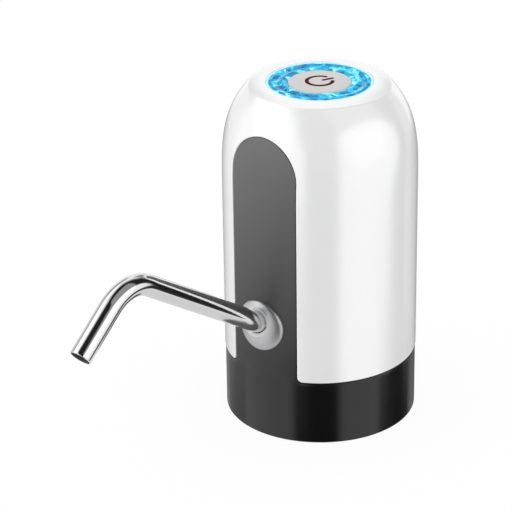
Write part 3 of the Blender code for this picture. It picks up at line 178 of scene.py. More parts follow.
def map_range(tree, value, start=0.0, end=1.0, low=0.0, high=1.0, form='LINEAR'):
    """Goes from low to high while the value goes from start to end, and stays there."""
    node = tree.nodes.new("ShaderNodeMapRange")
    node.interpolation_type = form
    set_inputs(tree, node, {"Value": value, "From Min": start, "From Max": end, "To Min": low,
                            "To Max": high})
    return node.outputs["Result"]


def mix_colours(tree, share, first, second):
    node = tree.nodes.new("ShaderNodeMix")
    node.data_type = 'RGBA'
    set_inputs(tree, node, {"Factor": share, "A": first, "B": second})
    return node.outputs["Result"]


def bump(tree, height, strength, depth):
    return add_node(tree, "Bump", {"Strength": strength, "Distance": depth,
                                   "Height": height}).outputs["Normal"]


def new_material(name):
    """A material with its node tree, its shader and the object coordinates."""
    material = bpy.data.materials.new(name)
    material.use_nodes = True
    tree = material.node_tree
    place = tree.nodes.new("ShaderNodeTexCoord").outputs["Object"]
    return material, tree, tree.nodes["Principled BSDF"], place

# %% [markdown]
# Finishes. Moulded plastic is never one flat colour: it clouds a little, it is polished more
# in one place than in another, and its surface has a fine grain. One function makes such a
# material out of three noises, one slow, one of middling size and one very fine. They take
# object coordinates, so they stay on the piece in every view.

# %% One function for the finishes
PATCH_DETAIL, POLISH_DETAIL, GRAIN_DETAIL, GRAIN_STRENGTH = 3, 4, 2, 0.5
POLISH_SHARE = 1 / 3  # of the patches' size


def make_finish(name, colour, second, patch, rough, grain, depth, others=None):
    """Material from two colours that mix in patches, a roughness range and a fine grain.

    The colour is colour + (second - colour) * noise(position / patch), the roughness runs
    between the two numbers of rough, and a bump of the given depth has the size of grain.
    Patch, grain and depth are in millimetres. The shader's other inputs come last.
    """
    material, tree, shader, place = new_material(name)

    def noise(size, detail):
        return add_node(tree, "TexNoise", {"Scale": 1 / size, "Detail": detail,
                                           "Vector": place}).outputs["Fac"]

    patches = noise(patch * MM, PATCH_DETAIL)
    polish = noise(patch * MM * POLISH_SHARE, POLISH_DETAIL)
    set_inputs(tree, shader, {
        "Base Color": mix_colours(tree, patches, (*colour, 1), (*second, 1)),
        "Roughness": map_range(tree, polish, low=rough[0], high=rough[1]),
        "Normal": bump(tree, noise(grain * MM, GRAIN_DETAIL), GRAIN_STRENGTH, depth * MM),
        **(others or {})})
    return material

# %% The finishes by slot name
METAL = {"Metallic": 1.0}
FINISHES = {  # two colours, patch, roughness, grain, its depth, other inputs
    "white_shell": ((0.87, 0.87, 0.87), (0.845, 0.85, 0.85), 30, (0.20, 0.265), 0.5, 0.004,
                    {"Coat Weight": 1.0, "Coat Roughness": 0.20, "Coat IOR": 2.3}),
    "dark_base": ((0.004, 0.004, 0.0042), (0.007, 0.0068, 0.007), 25, (0.14, 0.20), 0.4, 0.004),
    "spout_steel": ((0.82, 0.82, 0.82), (0.76, 0.765, 0.77), 12, (0.06, 0.11), 0.3, 0.001, METAL),
    # The bore's dark grey is painted shade inside the tube; its roughness is its own.
    "bore_painted_shade": ((0.16, 0.16, 0.165), (0.10, 0.10, 0.105), 5, (0.45, 0.6), 0.2, 0.004,
                  {"Metallic": 0.6}),
    "satin_collar": ((0.60, 0.60, 0.61), (0.53, 0.53, 0.54), 6, (0.36, 0.46), 0.15, 0.003, METAL),
    # The funnel's light grey is a painted highlight on the collar's lip.
    "funnel_painted_highlight": ((0.92, 0.92, 0.92), (0.86, 0.86, 0.87), 4, (0.42, 0.5), 0.15, 0.002,
                      {"Metallic": 0.5}),
    "pearl_button": ((0.55, 0.59, 0.565), (0.60, 0.555, 0.55), 9, (0.30, 0.40), 0.2, 0.004,
                     {"Coat Weight": 0.2, "Coat Roughness": 0.05}),
    "maroon_print": ((0.070, 0.0, 0.006), (0.095, 0.001, 0.010), 3, (0.5, 0.6), 0.2, 0.001,
                     {"Specular IOR Level": 0.05}),
    "inner_plastic": ((0.66, 0.66, 0.64), (0.60, 0.60, 0.58), 8, (0.42, 0.58), 0.3, 0.01),
    "pump_plastic": ((0.09, 0.09, 0.10), (0.06, 0.06, 0.065), 8, (0.42, 0.58), 0.3, 0.01),
    "silicone": ((0.72, 0.73, 0.73), (0.64, 0.66, 0.66), 7, (0.38, 0.52), 0.5, 0.008),
    "black_rubber": ((0.02, 0.02, 0.02), (0.035, 0.034, 0.033), 4, (0.6, 0.75), 0.2, 0.01),
    "green_board": ((0.02, 0.15, 0.06), (0.03, 0.20, 0.09), 5, (0.35, 0.5), 0.4, 0.01,
                    {"Coat Weight": 0.3, "Coat Roughness": 0.05}),
    "zinc": ((0.56, 0.56, 0.57), (0.48, 0.48, 0.50), 3, (0.28, 0.42), 0.1, 0.004, METAL),
    "rotor_steel": ((0.42, 0.36, 0.31), (0.34, 0.30, 0.28), 3, (0.35, 0.5), 0.2, 0.008, METAL),
    "cell_wrap": ((0.04, 0.15, 0.44), (0.06, 0.20, 0.52), 9, (0.32, 0.45), 0.6, 0.008),
    "lamp": ((0.84, 0.84, 0.72), (0.88, 0.86, 0.80), 1.5, (0.3, 0.45), 0.2, 0.004),
    "ferrite": ((0.06, 0.06, 0.06), (0.09, 0.085, 0.085), 3, (0.6, 0.8), 0.2, 0.02),
    "red_lead": ((0.50, 0.02, 0.02), (0.42, 0.03, 0.03), 4, (0.45, 0.6), 0.3, 0.006),
}
finishes = {name: make_finish(name, *numbers) for name, numbers in FINISHES.items()}
print("finishes:", len(finishes))

# %% [markdown]
# The crystal of the light ring is lit blue from below. No two of its facets pass on the same
# amount of light, so the finish turns the facet's random number into a blue from deep to
# cyan. A pattern of small cells does the same for the cuts on the ring's underside. Towards
# the outer edge the blue turns pale, as light gathers there.

# %% Finish of the crystal
TONES = ((0.14, (0.0, 0.09, 0.25)), (0.34, (0.0, 0.20, 0.40)), (0.54, (0.0, 0.32, 0.53)),
         (0.70, (0.01, 0.46, 0.66)), (0.86, (0.26, 0.80, 0.83)))
CELL, CELL_SHARE, CUT, CUT_DEPTH = 2.3 * MM, 0.45, 0.6, 0.05 * MM
GLOW, SHEEN, CRYSTAL_ROUGH = 0.5, 0.25, (0.05, 0.14)
PALE, PALE_RIM = (0.42, 0.80, 0.88), 1.0 * MM


def make_crystal(name):
    """Blue from deep to cyan by the facet's number and by cells, with a glow of its own."""
    material, tree, shader, place = new_material(name)
    facet = tree.nodes.new("ShaderNodeAttribute")
    facet.attribute_name = "facet_tone"
    cells = add_node(tree, "TexVoronoi", {"Scale": 1 / CELL, "Vector": place})
    cell_tone = add_node(tree, "SeparateColor", {"Color": cells.outputs["Color"]})
    tone = add_node(tree, "Mix", {"Factor": CELL_SHARE, "A": facet.outputs["Fac"],
                                  "B": cell_tone.outputs["Red"]})
    colours = add_node(tree, "ValToRGB", {"Fac": tone.outputs["Result"]})
    marks = colours.color_ramp.elements
    for k, (at, colour) in enumerate(TONES):
        mark = marks[k] if k < 2 else marks.new(at)
        mark.position, mark.color = at, (*colour, 1)
    from_axis = add_node(tree, "Mapping", {"Vector": place, "Location": (0, -BODY_Y, 0),
                                           "Scale": (1, 1, 0)})
    radius = tree.nodes.new("ShaderNodeVectorMath")
    radius.operation = 'LENGTH'
    set_inputs(tree, radius, {0: from_axis.outputs["Vector"]})
    rim = map_range(tree, radius.outputs["Value"], RING_RADIUS - PALE_RIM,
                    RING_RADIUS - PALE_RIM / 3)
    blue = mix_colours(tree, rim, colours.outputs["Color"], (*PALE, 1))
    set_inputs(tree, shader, {
        "Base Color": blue, "Emission Color": blue, "Emission Strength": GLOW,
        "Specular IOR Level": SHEEN,
        "Roughness": map_range(tree, cell_tone.outputs["Green"], low=CRYSTAL_ROUGH[0],
                               high=CRYSTAL_ROUGH[1]),
        "Normal": bump(tree, cells.outputs["Distance"], CUT, CUT_DEPTH)})
    return material


finishes["blue_crystal"] = make_crystal("blue_crystal")
print("tones of the crystal:", len(TONES))

# %% [markdown]
# The CAD nodes whose form is right keep it, and only get their finish. That is most of the
# inside: the pump, the motor, the cell, the boards, the tubes and the screws.

# %% Finishes for the CAD nodes
slot_of = {part["node"]: part["material_slot"] for part in frame["record"]["subparts"]}
for name, node in frame["nodes"].items():
    for place in node.material_slots:
        place.material = finishes[slot_of[name]]
print("CAD nodes with a finish:", len(slot_of))

# %% [markdown]
# The side of the body. The shell and the base are one turned form that an arched slot parts.
# So one profile serves both: a straight side, a dome drawn as a cubic curve, a softened crease
# and a nearly flat top. The profile is measured by its length from the foot, so a point on
# the body is an angle, a length and a depth below the surface.

# %% Angles, places and curves
def unit(vectors):
    """The same directions with length 1."""
    return vectors / np.linalg.norm(vectors, axis=-1, keepdims=True)


def turns(first, last, count):
    """Angles in radians, evenly spaced between two in degrees."""
    return np.radians(np.linspace(first, last, count))


def round_axis(angle, radius, height):
    """Places round the body's axis, where the angle is 0 at the front and grows towards X."""
    angle, radius, height = np.broadcast_arrays(angle, radius, height)
    return np.stack([radius * np.sin(angle), BODY_Y - radius * np.cos(angle), height], -1)


def curve(count, *points):
    """Points along a curve from the first place to the last, pulled by those between.

    Neighbours are mixed to a * (1 - t) + b * t, and the mixes again, until one is left.
    """
    t = np.linspace(0, 1, count).reshape(-1, *[1] * np.ndim(points[0]))
    while len(points) > 1:
        points = [a * (1 - t) + b * t for a, b in zip(points, points[1:])]
    return points[0]


print("a quarter turn:", turns(0, 90, 3).round(3))

# %% The body's profile
DOME_HEIGHT, DOME_LEAN = 39.1 * MM, math.radians(41.7)
DOME_LOW_PULL, DOME_HIGH_PULL = 16.2 * MM, 15.0 * MM
CREASE_DROP, CREASE_SOFTNESS = 0.9 * MM, 0.5 * MM
DOME_POINTS, TOP_POINTS, CREASE_POINTS, FOOT_STEPS = 120, 40, 14, 7
RING_OPENING = RING_RADIUS + FINE_GAP
BASE_CHAMFER, BASE_TUCK = 0.5 * MM, 0.5 * MM


class Profile:
    """A turned form's outline as radius and height against the length from its foot."""

    def __init__(self, points):
        self.points = np.array(points)
        steps = np.linalg.norm(np.diff(self.points, axis=0), axis=1)
        self.length = np.concatenate([[0], np.cumsum(steps)])
        along = unit(np.gradient(self.points, self.length, axis=0))
        self.normal = np.stack([along[:, 1], -along[:, 0]], axis=1)
        self.end = self.length[-1]

    def at_height(self, height):
        """Length at which the side reaches a height, anywhere below the crease."""
        side = slice(0, int(np.argmax(self.points[:, 1])) + 1)
        return np.interp(height, self.points[side, 1], self.length[side])

    def radius_at(self, height):
        return np.interp(self.at_height(height), self.length, self.points[:, 0])

    def point(self, angle, length, depth=0.0):
        """Place on the body: angle from the front, length up the side, depth below it."""
        length, depth = np.broadcast_arrays(length, depth)
        radius, height, out, up = (np.interp(length, self.length, v) for v in
                                   (*self.points.T, *self.normal.T))
        return round_axis(angle, radius - depth * out, height - depth * up)


def upper_outline(inset):
    """The side above its straight part, moved in by the inset, up to the ring's opening."""
    crease = np.array([BODY_RADIUS - CREASE_INSET, BODY_TOP - CREASE_DROP])
    start = np.array([BODY_RADIUS, BODY_TOP - DOME_HEIGHT])
    lean = np.array([math.sin(DOME_LEAN), -math.cos(DOME_LEAN)])
    dome = curve(DOME_POINTS, start, start + (0, DOME_LOW_PULL),
                 crease + lean * DOME_HIGH_PULL, crease)
    share = np.linspace(1, 0, TOP_POINTS)[:, None]
    top = np.hstack([RING_OPENING + (crease[0] - RING_OPENING) * share,
                     BODY_TOP - CREASE_DROP * share**2])
    before = dome[np.linalg.norm(dome - crease, axis=1) > CREASE_SOFTNESS]
    after = top[np.linalg.norm(top - crease, axis=1) > CREASE_SOFTNESS]
    bend = curve(CREASE_POINTS, before[-1], crease, after[0])
    line = np.vstack([before, bend[1:-1], after])
    along = unit(np.gradient(line, axis=0))
    return line - inset * np.stack([along[:, 1], -along[:, 0]], axis=1)


white_side = Profile(np.vstack([[[BODY_RADIUS, SEAM]], upper_outline(0)]))
dark_radius = BODY_RADIUS - DARK_INSET
corner = turns(-90, 0, FOOT_STEPS)[:, None]
foot_round = (np.array([dark_radius - BASE_CHAMFER, BASE_CHAMFER])
              + BASE_CHAMFER * np.hstack([np.cos(corner), np.sin(corner)]))
tucked = [[dark_radius - BASE_CHAMFER - BASE_TUCK, 0.0]]
dark_side = Profile(np.vstack([tucked, foot_round, upper_outline(DARK_INSET)]))
print("profile lengths:", round(white_side.end, 4), round(dark_side.end, 4))

# %% [markdown]
# The arched slot. Its outline is a loop round the whole body: along the seam from one foot
# of the slot round the back to the other, up one side, over the arch and down again. The
# shell ends at this loop and the base's tongue just inside it. Every loop has the same count
# of points, so a larger and a smaller one can be joined by faces. That is how the edges are
# rounded over.

# %% The slot's loop
SLOT_HALF, SLOT_TOP = 15.2 * MM, BODY_TOP - 11.9 * MM
ARCH_RISE, FOOT_ROUND = 15.6 * MM, 2.0 * MM
BACK_POINTS, FOOT_POINTS, SIDE_POINTS, ARCH_POINTS = 240, 10, 80, 90
ARCH_CENTRE = SLOT_TOP - ARCH_RISE
EDGE, EDGE_TURN = 0.35 * MM, turns(0, 90, 6)
BACK_SHARE = np.linspace(0, 1, BACK_POINTS + 1)


def spread(first, last, count):
    """Evenly spaced numbers, without the first one."""
    return np.linspace(first, last, count + 1)[1:]


def round_back(angle, share):
    """Angles from one on the right round the back to the same one on the left."""
    return angle + (math.tau - 2 * angle) * share


def slot_side(clearance):
    """Right side of the slot from its foot up to the arch, as (x, height) points."""
    round_off = FOOT_ROUND + clearance
    half = SLOT_HALF - clearance
    angle = turns(270, 180, FOOT_POINTS + 1)[:, None]
    centre = np.array([half + round_off, SEAM - clearance + round_off])
    foot = centre + round_off * np.hstack([np.cos(angle), np.sin(angle)])
    height = spread(foot[-1, 1], ARCH_CENTRE, SIDE_POINTS)
    return np.vstack([foot, np.stack([np.full_like(height, half), height], 1)])


def arch(clearance):
    """The arch from right to left: half an ellipse."""
    angle = np.linspace(0, math.pi, ARCH_POINTS + 1)
    return np.stack([(SLOT_HALF - clearance) * np.cos(angle),
                     ARCH_CENTRE + (ARCH_RISE - clearance) * np.sin(angle)], 1)


def on_side(side, outline):
    """Angle and length on the body of points seen from the front."""
    x, height = outline[..., 0], outline[..., 1]
    return np.arcsin(x / side.radius_at(height)), side.at_height(height)


def slot_loop(side, clearance):
    """Angle and length of the closed loop, from the right foot round the back and over."""
    right, over = (np.stack(on_side(side, outline), 1)
                   for outline in (slot_side(clearance), arch(clearance)))
    back = round_back(right[0, 0], BACK_SHARE[:-1])
    back = np.stack([back, np.full_like(back, right[0, 1])], 1)
    front = np.vstack([right * (-1, 1), over[-2:0:-1], right[:0:-1]]) + (math.tau, 0)
    return np.vstack([back, front]).T


def rolled_edge(side, clearance, outward, wall):
    """Rows that round the slot's edge over and run in along the wall behind it.

    For a turn a from 0 to 90 degrees the loop moves by EDGE * (1 - sin a) into the
    material and lies EDGE * (1 - cos a) below the surface.
    """
    rows = [(clearance + outward * EDGE * (1 - math.sin(a)), EDGE * (1 - math.cos(a)))
            for a in EDGE_TURN] + [(clearance, wall)]
    return np.stack([side.point(*slot_loop(side, moved), depth) for moved, depth in rows])


print("points in the slot's loop:", len(slot_loop(white_side, 0)[0]))

# %% [markdown]
# The white shell is a thin moulding with a polished face. Here it is laid out in two fields.
# Below the arch's foot the rows run level from the slot round the back, and above it the
# columns run from the arch and the back up to the ring's opening. A cut with a Boolean would
# be quicker, but it leaves long thin faces at the slot, which show as streaks in the gloss.

# %% White shell
SHELL_DEPTH, SHOULDER_MARGIN = 1.2 * MM, 2.2 * MM
ARCH_SPREAD = math.radians(38)
OUTER_ROWS, INNER_ROWS = (50, 26), (12, 8)  # up to the shoulder, above it
TOP_OVER = np.linspace(-ARCH_SPREAD, ARCH_SPREAD, ARCH_POINTS + 1)[:-1]
TOP_ANGLE = np.concatenate([round_back(ARCH_SPREAD, BACK_SHARE[:-1]), math.tau + TOP_OVER])


def level_field(side, clearance, depth):
    """Rows from the slot's right side round the back to its left side."""
    angle, length = (v[:, None] for v in on_side(side, slot_side(clearance)))
    return side.point(round_back(angle, BACK_SHARE), length, depth)


def upper_field(side, clearance, depth, rows, last):
    """Columns from the arch and the level line behind it, that reach the top at TOP_ANGLE."""
    spring, level = on_side(side, slot_side(clearance)[-1])
    back_angle = round_back(spring, BACK_SHARE[:-1])
    over_angle, over_length = on_side(side, arch(clearance)[:0:-1])
    angle = np.concatenate([back_angle, over_angle + math.tau])
    length = np.concatenate([np.full_like(back_angle, level), over_length])
    shoulder = side.end - (BODY_RADIUS - CREASE_INSET - RING_OPENING) - SHOULDER_MARGIN
    t = np.linspace(0, 1, rows[0])[:, None]
    rise = side.point(angle + (TOP_ANGLE - angle) * t, length + (shoulder - length) * t, depth)
    t = spread(shoulder, last, rows[1])[:, None]
    return np.concatenate([rise, side.point(TOP_ANGLE, t, depth)])


def opening_rim():
    """Rounds the edge at the ring's opening over and runs down inside it."""
    turn = EDGE_TURN[:, None]
    radius = np.vstack([RING_OPENING + EDGE * (1 - np.sin(turn)), [[RING_OPENING]]])
    height = np.vstack([BODY_TOP - EDGE * (1 - np.cos(turn)), [[BODY_TOP - SHELL_DEPTH]]])
    return round_axis(TOP_ANGLE, radius, height)


white_shell = make_piece("white_shell", [
    (level_field(white_side, -EDGE, 0), False, False),
    (upper_field(white_side, -EDGE, 0, OUTER_ROWS, white_side.end - EDGE), False, True),
    (rolled_edge(white_side, 0, -1, SHELL_DEPTH), False, True),
    (opening_rim(), False, True),
    (level_field(white_side, 0, SHELL_DEPTH), False, False),
    (upper_field(white_side, 0, SHELL_DEPTH, INNER_ROWS, white_side.end), False, True),
], "root", "white_shell", ["outer_shell"])

# %% [markdown]
# The window for the charging socket is a small rounded opening in the back of the shell. The
# wall is nearly flat there and the grid fine, so here a Boolean does no harm. Its cutter, a
# rounded bar through the wall, is taken away again.

# %% Window in the back
WINDOW_MARGIN, WINDOW_ROUND, CUT_SIDES = 0.5 * MM, 1.0 * MM, 48
CUT_FROM, CUT_TO = (BODY_Y + BODY_RADIUS + out for out in (-3 * MM, 1 * MM))


def full_turn(count):
    """Angles in even steps all round."""
    return np.linspace(0, math.tau, count, endpoint=False)


def rounded_bar(low, high):
    """Closed bar along Y round a box, whose section is a rectangle with round corners."""
    centre = (low + high) / 2
    half = (high - low) / 2 + Vector((WINDOW_MARGIN, 0, WINDOW_MARGIN))
    cos, sin = np.cos(full_turn(CUT_SIDES)), np.sin(full_turn(CUT_SIDES))
    x = np.sign(cos) * (half.x - WINDOW_ROUND) + WINDOW_ROUND * cos
    z = np.sign(sin) * (half.z - WINDOW_ROUND) + WINDOW_ROUND * sin
    rows = [(0, CUT_FROM), (1, CUT_FROM), (1, CUT_TO), (0, CUT_TO)]
    return np.stack([np.stack([centre.x + x * grown, y + 0 * x, centre.z + z * grown], -1)
                     for grown, y in rows])


def cut_out(obj, grid):
    """Take the closed form of a grid out of a piece, for good."""
    faces = grid_faces(*grid.shape[:2], False, True)
    cutter = add_object("cutter", welded("cutter", grid.reshape(-1, 3), faces))
    modifier = obj.modifiers.new("window", 'BOOLEAN')
    modifier.object, modifier.operation, modifier.solver = cutter, 'DIFFERENCE', 'EXACT'
    graph = bpy.context.evaluated_depsgraph_get()
    cut = bpy.data.meshes.new_from_object(obj.evaluated_get(graph))
    obj.modifiers.clear()
    obj.data = cut
    bpy.data.objects.remove(cutter)


cut_out(white_shell, rounded_bar(*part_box("charge_socket")))
print("shell after the cut:", len(white_shell.data.polygons), "faces")

# %% [markdown]
# The dark base and its tongue are one glossy black moulding, and the tongue fills the slot at
# an even gap. Towards its top the tongue turns to a grey that is a painted reflection of a soft
# box: the finish mixes in a lighter grey with the height. The gloss gives way to satin just
# above the seam.

# %% Finish of the base and the tongue
# Painted reflection: the grey the tongue turns to towards its top stands in for a mirrored soft box.
PAINTED_REFLECTION_COLOUR = (0.130, 0.128, 0.128, 1)
PAINTED_REFLECTION_FROM, SATIN, SATIN_FULL = SEAM - 2 * MM, 0.26, SEAM + 6 * MM
tree = finishes["dark_base"].node_tree
shader = tree.nodes["Principled BSDF"]
clouds, polish = (shader.inputs[name].links[0].from_socket for name in ("Base Color", "Roughness"))
place = tree.nodes.new("ShaderNodeTexCoord").outputs["Object"]
height = add_node(tree, "SeparateXYZ", {0: place}).outputs["Z"]
# Share of the painted reflection, rising with the height up to the slot's top.
painted_reflection = map_range(tree, height, PAINTED_REFLECTION_FROM, SLOT_TOP)
matter = map_range(tree, height, PAINTED_REFLECTION_FROM, SATIN_FULL)
set_inputs(tree, shader, {
    "Base Color": mix_colours(tree, painted_reflection, clouds, PAINTED_REFLECTION_COLOUR),
    "Roughness": math_node(tree, 'MULTIPLY_ADD', matter, SATIN, polish)})
print("tongue: reflection_painted_in from", round(PAINTED_REFLECTION_FROM, 4), "up to", round(SLOT_TOP, 4))

# %% [markdown]
# The cup below the seam is a field of upright columns. The tongue above it has level rows, and
# under the arch its columns fan out from the arch's centre, so that the rows follow the edge
# all round.

# %% Base and tongue
ACROSS, CUP_ROWS = 24, 24
BASE_DEPTH, CUP_FOOT = 2.0 * MM, 1.5 * MM


def cup_field(side, clearance, foot, rows):
    """Upright columns from a length near the foot up to the seam and the tongue's root."""
    angle, length = on_side(side, slot_side(clearance)[:FOOT_POINTS + 1])
    back = round_back(angle[0], BACK_SHARE)
    tongue = np.linspace(-angle[-1], angle[-1], 2 * ACROSS + 1)[1:-1]
    columns = np.concatenate([back, math.tau - angle[1:], math.tau + tongue,
                              math.tau + angle[:0:-1]])
    top = np.concatenate([np.full_like(back, length[0]), length[1:],
                          np.full_like(tongue, length[-1]), length[:0:-1]])
    t = np.linspace(0, 1, rows)[:, None]
    return side.point(columns, foot + (top - foot) * t)


def tongue_field(side, clearance):
    """Level rows across the tongue, from its root up to the arch."""
    angle, length = on_side(side, slot_side(clearance)[FOOT_POINTS:])
    across = np.linspace(-1, 1, 2 * ACROSS + 1)
    return side.point(angle[:, None] * across, length[:, None])


def arch_field(side, clearance):
    """Half-ellipses round the arch's centre: share * (half cos a, rise sin a)."""
    share = np.linspace(0, 1, ACROSS + 1)[:, None, None]
    centre = np.array([0, ARCH_CENTRE])
    return side.point(*on_side(side, centre + (arch(clearance) - centre) * share))


def foot_field(side, clearance):
    """The rounded foot, in the columns of the cup field."""
    row = cup_field(side, clearance, CUP_FOOT, 2)[0]
    angle = np.arctan2(row[:, 0], BODY_Y - row[:, 1])
    lengths = np.append(side.length[side.length < CUP_FOOT], CUP_FOOT)
    return side.point(angle, lengths[:, None])


inset = GAP + EDGE
make_piece("dark_base", [
    (foot_field(dark_side, inset), False, True),
    (cup_field(dark_side, inset, CUP_FOOT, CUP_ROWS), False, True),
    (tongue_field(dark_side, inset), False, False),
    (arch_field(dark_side, inset), False, False),
    (rolled_edge(dark_side, GAP, 1, BASE_DEPTH), False, True),
], "root", "dark_base", ["base_body"])

# %% [markdown]
# Below, the base is hollow: a socket with grip ribs for the bottle's neck, a ceiling and four
# screw wells. Those small forms are right in the CAD, so they are copied from it, without the
# outer skin and the tongue, which the new surface has taken over. The loose triangles are
# welded first, so that the bores shade smoothly.

# %% Underside of the base
SKIN, SEAM_STEP, TONGUE_WALL = 0.3 * MM, 0.1 * MM, 2.2 * MM
FACING_OUT = 0.5


def below_skin(centre, normal):
    """True for faces that aren't on the outer skin, the foot's bevel or the tongue."""
    out = math.hypot(centre.x, centre.y - BODY_Y)
    radial = (normal.x * centre.x + normal.y * (centre.y - BODY_Y)) / max(out, MERGE)
    on_skin = out > dark_radius - SKIN and radial > FACING_OUT
    bevel = centre.z < BASE_CHAMFER and out > dark_radius - BASE_CHAMFER
    tongue = centre.z > SEAM + SEAM_STEP and out > dark_radius - TONGUE_WALL
    return not (on_skin or bevel or tongue)


bm = bmesh.new()
bm.from_mesh(frame["nodes"]["base_body"].data)
bmesh.ops.remove_doubles(bm, verts=bm.verts, dist=MERGE)
drop = [face for face in bm.faces if not below_skin(face.calc_center_median(), face.normal)]
bmesh.ops.delete(bm, geom=drop, context='FACES')
mesh = bpy.data.meshes.new("base_underside")
bm.to_mesh(mesh)
bm.free()
hang_piece("base_underside", mesh, "root", "dark_base", ["base_body"], sharp=30)
print("faces left out:", len(drop))

# %% [markdown]
# The spout is a thin steel tube, bent once over a round former and polished to a mirror. Its
# surface is a circle carried along the route: straight out of the collar, round the bend and
# down to the mouth. Outside, rolled rim, bore and the end in the socket make one closed sheet.
# Nobody polishes the inside of a tube, so the faces of the bore get a rough finish, and a colour far darker than
# steel, which is painted shade inside the tube.

# %% Steel spout
SPOUT_RADIUS, SPOUT_WALL = 4.0 * MM, 0.5 * MM
SPOUT_RISE, SPOUT_FALL = math.radians(32.7), math.radians(39.0)
LEG_1, LEG_2, BEND, TAIL = 87.0 * MM, 33.3 * MM, 17.5 * MM, 12.7 * MM
spout_root = np.array(spout_joint["pos_m"])
spout_out = np.array([0, -math.cos(SPOUT_RISE), math.sin(SPOUT_RISE)])
spout_down = np.array([0, -math.sin(SPOUT_RISE), -math.cos(SPOUT_RISE)])
SIDE_WAYS = np.array([1.0, 0, 0])
LEG_STEPS, BEND_STEPS, END_STEPS, TUBE_SIDES, RIM_STEPS = 60, 48, 20, 72, 9
BORE_FROM = SPOUT_RADIUS - 0.6 * SPOUT_WALL


def second_finish(obj, name, chosen):
    """Give the chosen faces of a piece a second finish."""
    obj.data.materials.append(finishes[name])
    obj.data.polygons.foreach_set("material_index", chosen.astype(np.int32))
    print(name, "on", int(chosen.sum()), "faces")


def spout_line():
    """Route of the spout and its direction at each point."""
    turn = SPOUT_RISE + SPOUT_FALL
    reach = LEG_1 - BEND * math.tan(turn / 2)
    a = np.linspace(0, turn, BEND_STEPS + 1)[:, None]
    arc = (spout_root + spout_out * (reach + BEND * np.sin(a))
           + spout_down * BEND * (1 - np.cos(a)))
    along = spout_out * np.cos(a) + spout_down * np.sin(a)
    leg = np.linspace(-TAIL, reach, LEG_STEPS)[:-1, None]
    end = spout_root + spout_out * LEG_1 + along[-1] * LEG_2
    last = arc[-1] + (end - arc[-1]) * spread(0, 1, END_STEPS)[:, None]
    route = np.vstack([spout_root + spout_out * leg, arc, last])
    return route, np.vstack([np.tile(spout_out, (len(leg), 1)), along,
                             np.tile(along[-1], (len(last), 1))])


def swept(route, along, radius):
    """Circles of the given radii round a route that lies in the plane X = 0."""
    turn = full_turn(TUBE_SIDES)[None, :, None]
    up = np.cross(along, SIDE_WAYS)[:, None, :]
    ring = SIDE_WAYS * np.cos(turn) + up * np.sin(turn)
    return route[:, None, :] + ring * np.reshape(radius, (-1, 1, 1))


route, along = spout_line()
turn = turns(0, 180, RIM_STEPS)
rim_radius = SPOUT_RADIUS - SPOUT_WALL / 2 * (1 - np.cos(turn))
rim_back = SPOUT_WALL / 2 * (1 - np.sin(turn))
rim = route[-1] - along[-1] * rim_back[:, None]
tube = np.vstack([route[:-1], rim, route[-2::-1]])
tube_along = np.vstack([along[:-1], np.tile(along[-1], (len(turn), 1)), along[-2::-1]])
radii = np.concatenate([np.full(len(route) - 1, SPOUT_RADIUS), rim_radius,
                        np.full(len(route) - 1, SPOUT_RADIUS - SPOUT_WALL)])
spout = make_piece("steel_spout", [(swept(tube, tube_along, radii), True, True)],
                   "spout", "spout_steel", ["spout_tube"])
centres = np.array([face.center for face in spout.data.polygons])
off_axis = np.linalg.norm(centres[:, None] - route[None], axis=2).min(1)
# The bore's faces get the darker finish: painted shade inside the tube.
second_finish(spout, "bore_painted_shade", off_axis < BORE_FROM)

# %% [markdown]
# The collar is a low satin dome where the spout enters the tongue. It follows the round of the
# tongue, so its height is measured from there. The hole for the tube leaves it slantwise
# through the upper half. Its funnel gets a lighter, less metallic finish, a painted highlight
# on the lip. Its edge is where the tube's direction meets the dome, which is found by halving
# a stretch of each line again and again.

# %% Domed collar
COLLAR_RADIUS, COLLAR_PROUD, COLLAR_EDGE = 10.2 * MM, 3.0 * MM, 0.5 * MM
COLLAR_FLAT, COLLAR_DROP = 3.0 * MM, 0.7 * MM
MOUTH_RADIUS, THROAT_RADIUS = 5.3 * MM, 4.05 * MM
FUNNEL, LIP, HOLE_DEPTH = 1.3 * MM, 0.25 * MM, 1.8 * MM
ROUND_STEPS, HALVINGS = 144, 40
FUNNEL_ROWS, LIP_ROWS, DOME_ROWS = 7, 5, 34


def dome_height(x, z):
    """Height before the root: a quarter ellipse round a flat middle, less the tongue's sag."""
    out = np.hypot(x, z + COLLAR_DROP) - COLLAR_FLAT
    out = np.clip(out / (COLLAR_RADIUS - COLLAR_FLAT), 0, 1)
    sag = dark_radius - np.sqrt(dark_radius**2 - x**2)
    return COLLAR_EDGE + (COLLAR_PROUD - COLLAR_EDGE) * np.sqrt(1 - out**2) - sag


def dome_point(flat, lower=0.0):
    """Places on the dome for points seen from the front."""
    height = dome_height(flat[..., 0], flat[..., 1]) - lower
    return spout_root + np.stack([flat[..., 0], -height, flat[..., 1]], -1)


def round_tube(radius, reach):
    """A ring of points round the tube's axis, each at its own reach along it."""
    turn = full_turn(ROUND_STEPS)[:, None]
    ring = np.cos(turn) * SIDE_WAYS - np.sin(turn) * spout_down
    return spout_root + radius * ring + spout_out * np.reshape(reach, (-1, 1))


low, high = (np.full(ROUND_STEPS, share * COLLAR_RADIUS) for share in (-2, 3))
for _ in range(HALVINGS):
    middle = (low + high) / 2
    at = round_tube(MOUTH_RADIUS, middle) - spout_root
    inside_dome = -at[:, 1] < dome_height(at[:, 0], at[:, 2])
    low, high = np.where(inside_dome, middle, low), np.where(inside_dome, high, middle)
edge = round_tube(MOUTH_RADIUS, low)
throat_top = round_tube(THROAT_RADIUS, low - FUNNEL)
throat = np.stack([round_tube(THROAT_RADIUS, 0 * low - HOLE_DEPTH), throat_top])
slope = np.linspace(0, 1, FUNNEL_ROWS)[:, None, None]
funnel = throat_top + (edge - throat_top) * (1 - LIP / FUNNEL) * slope

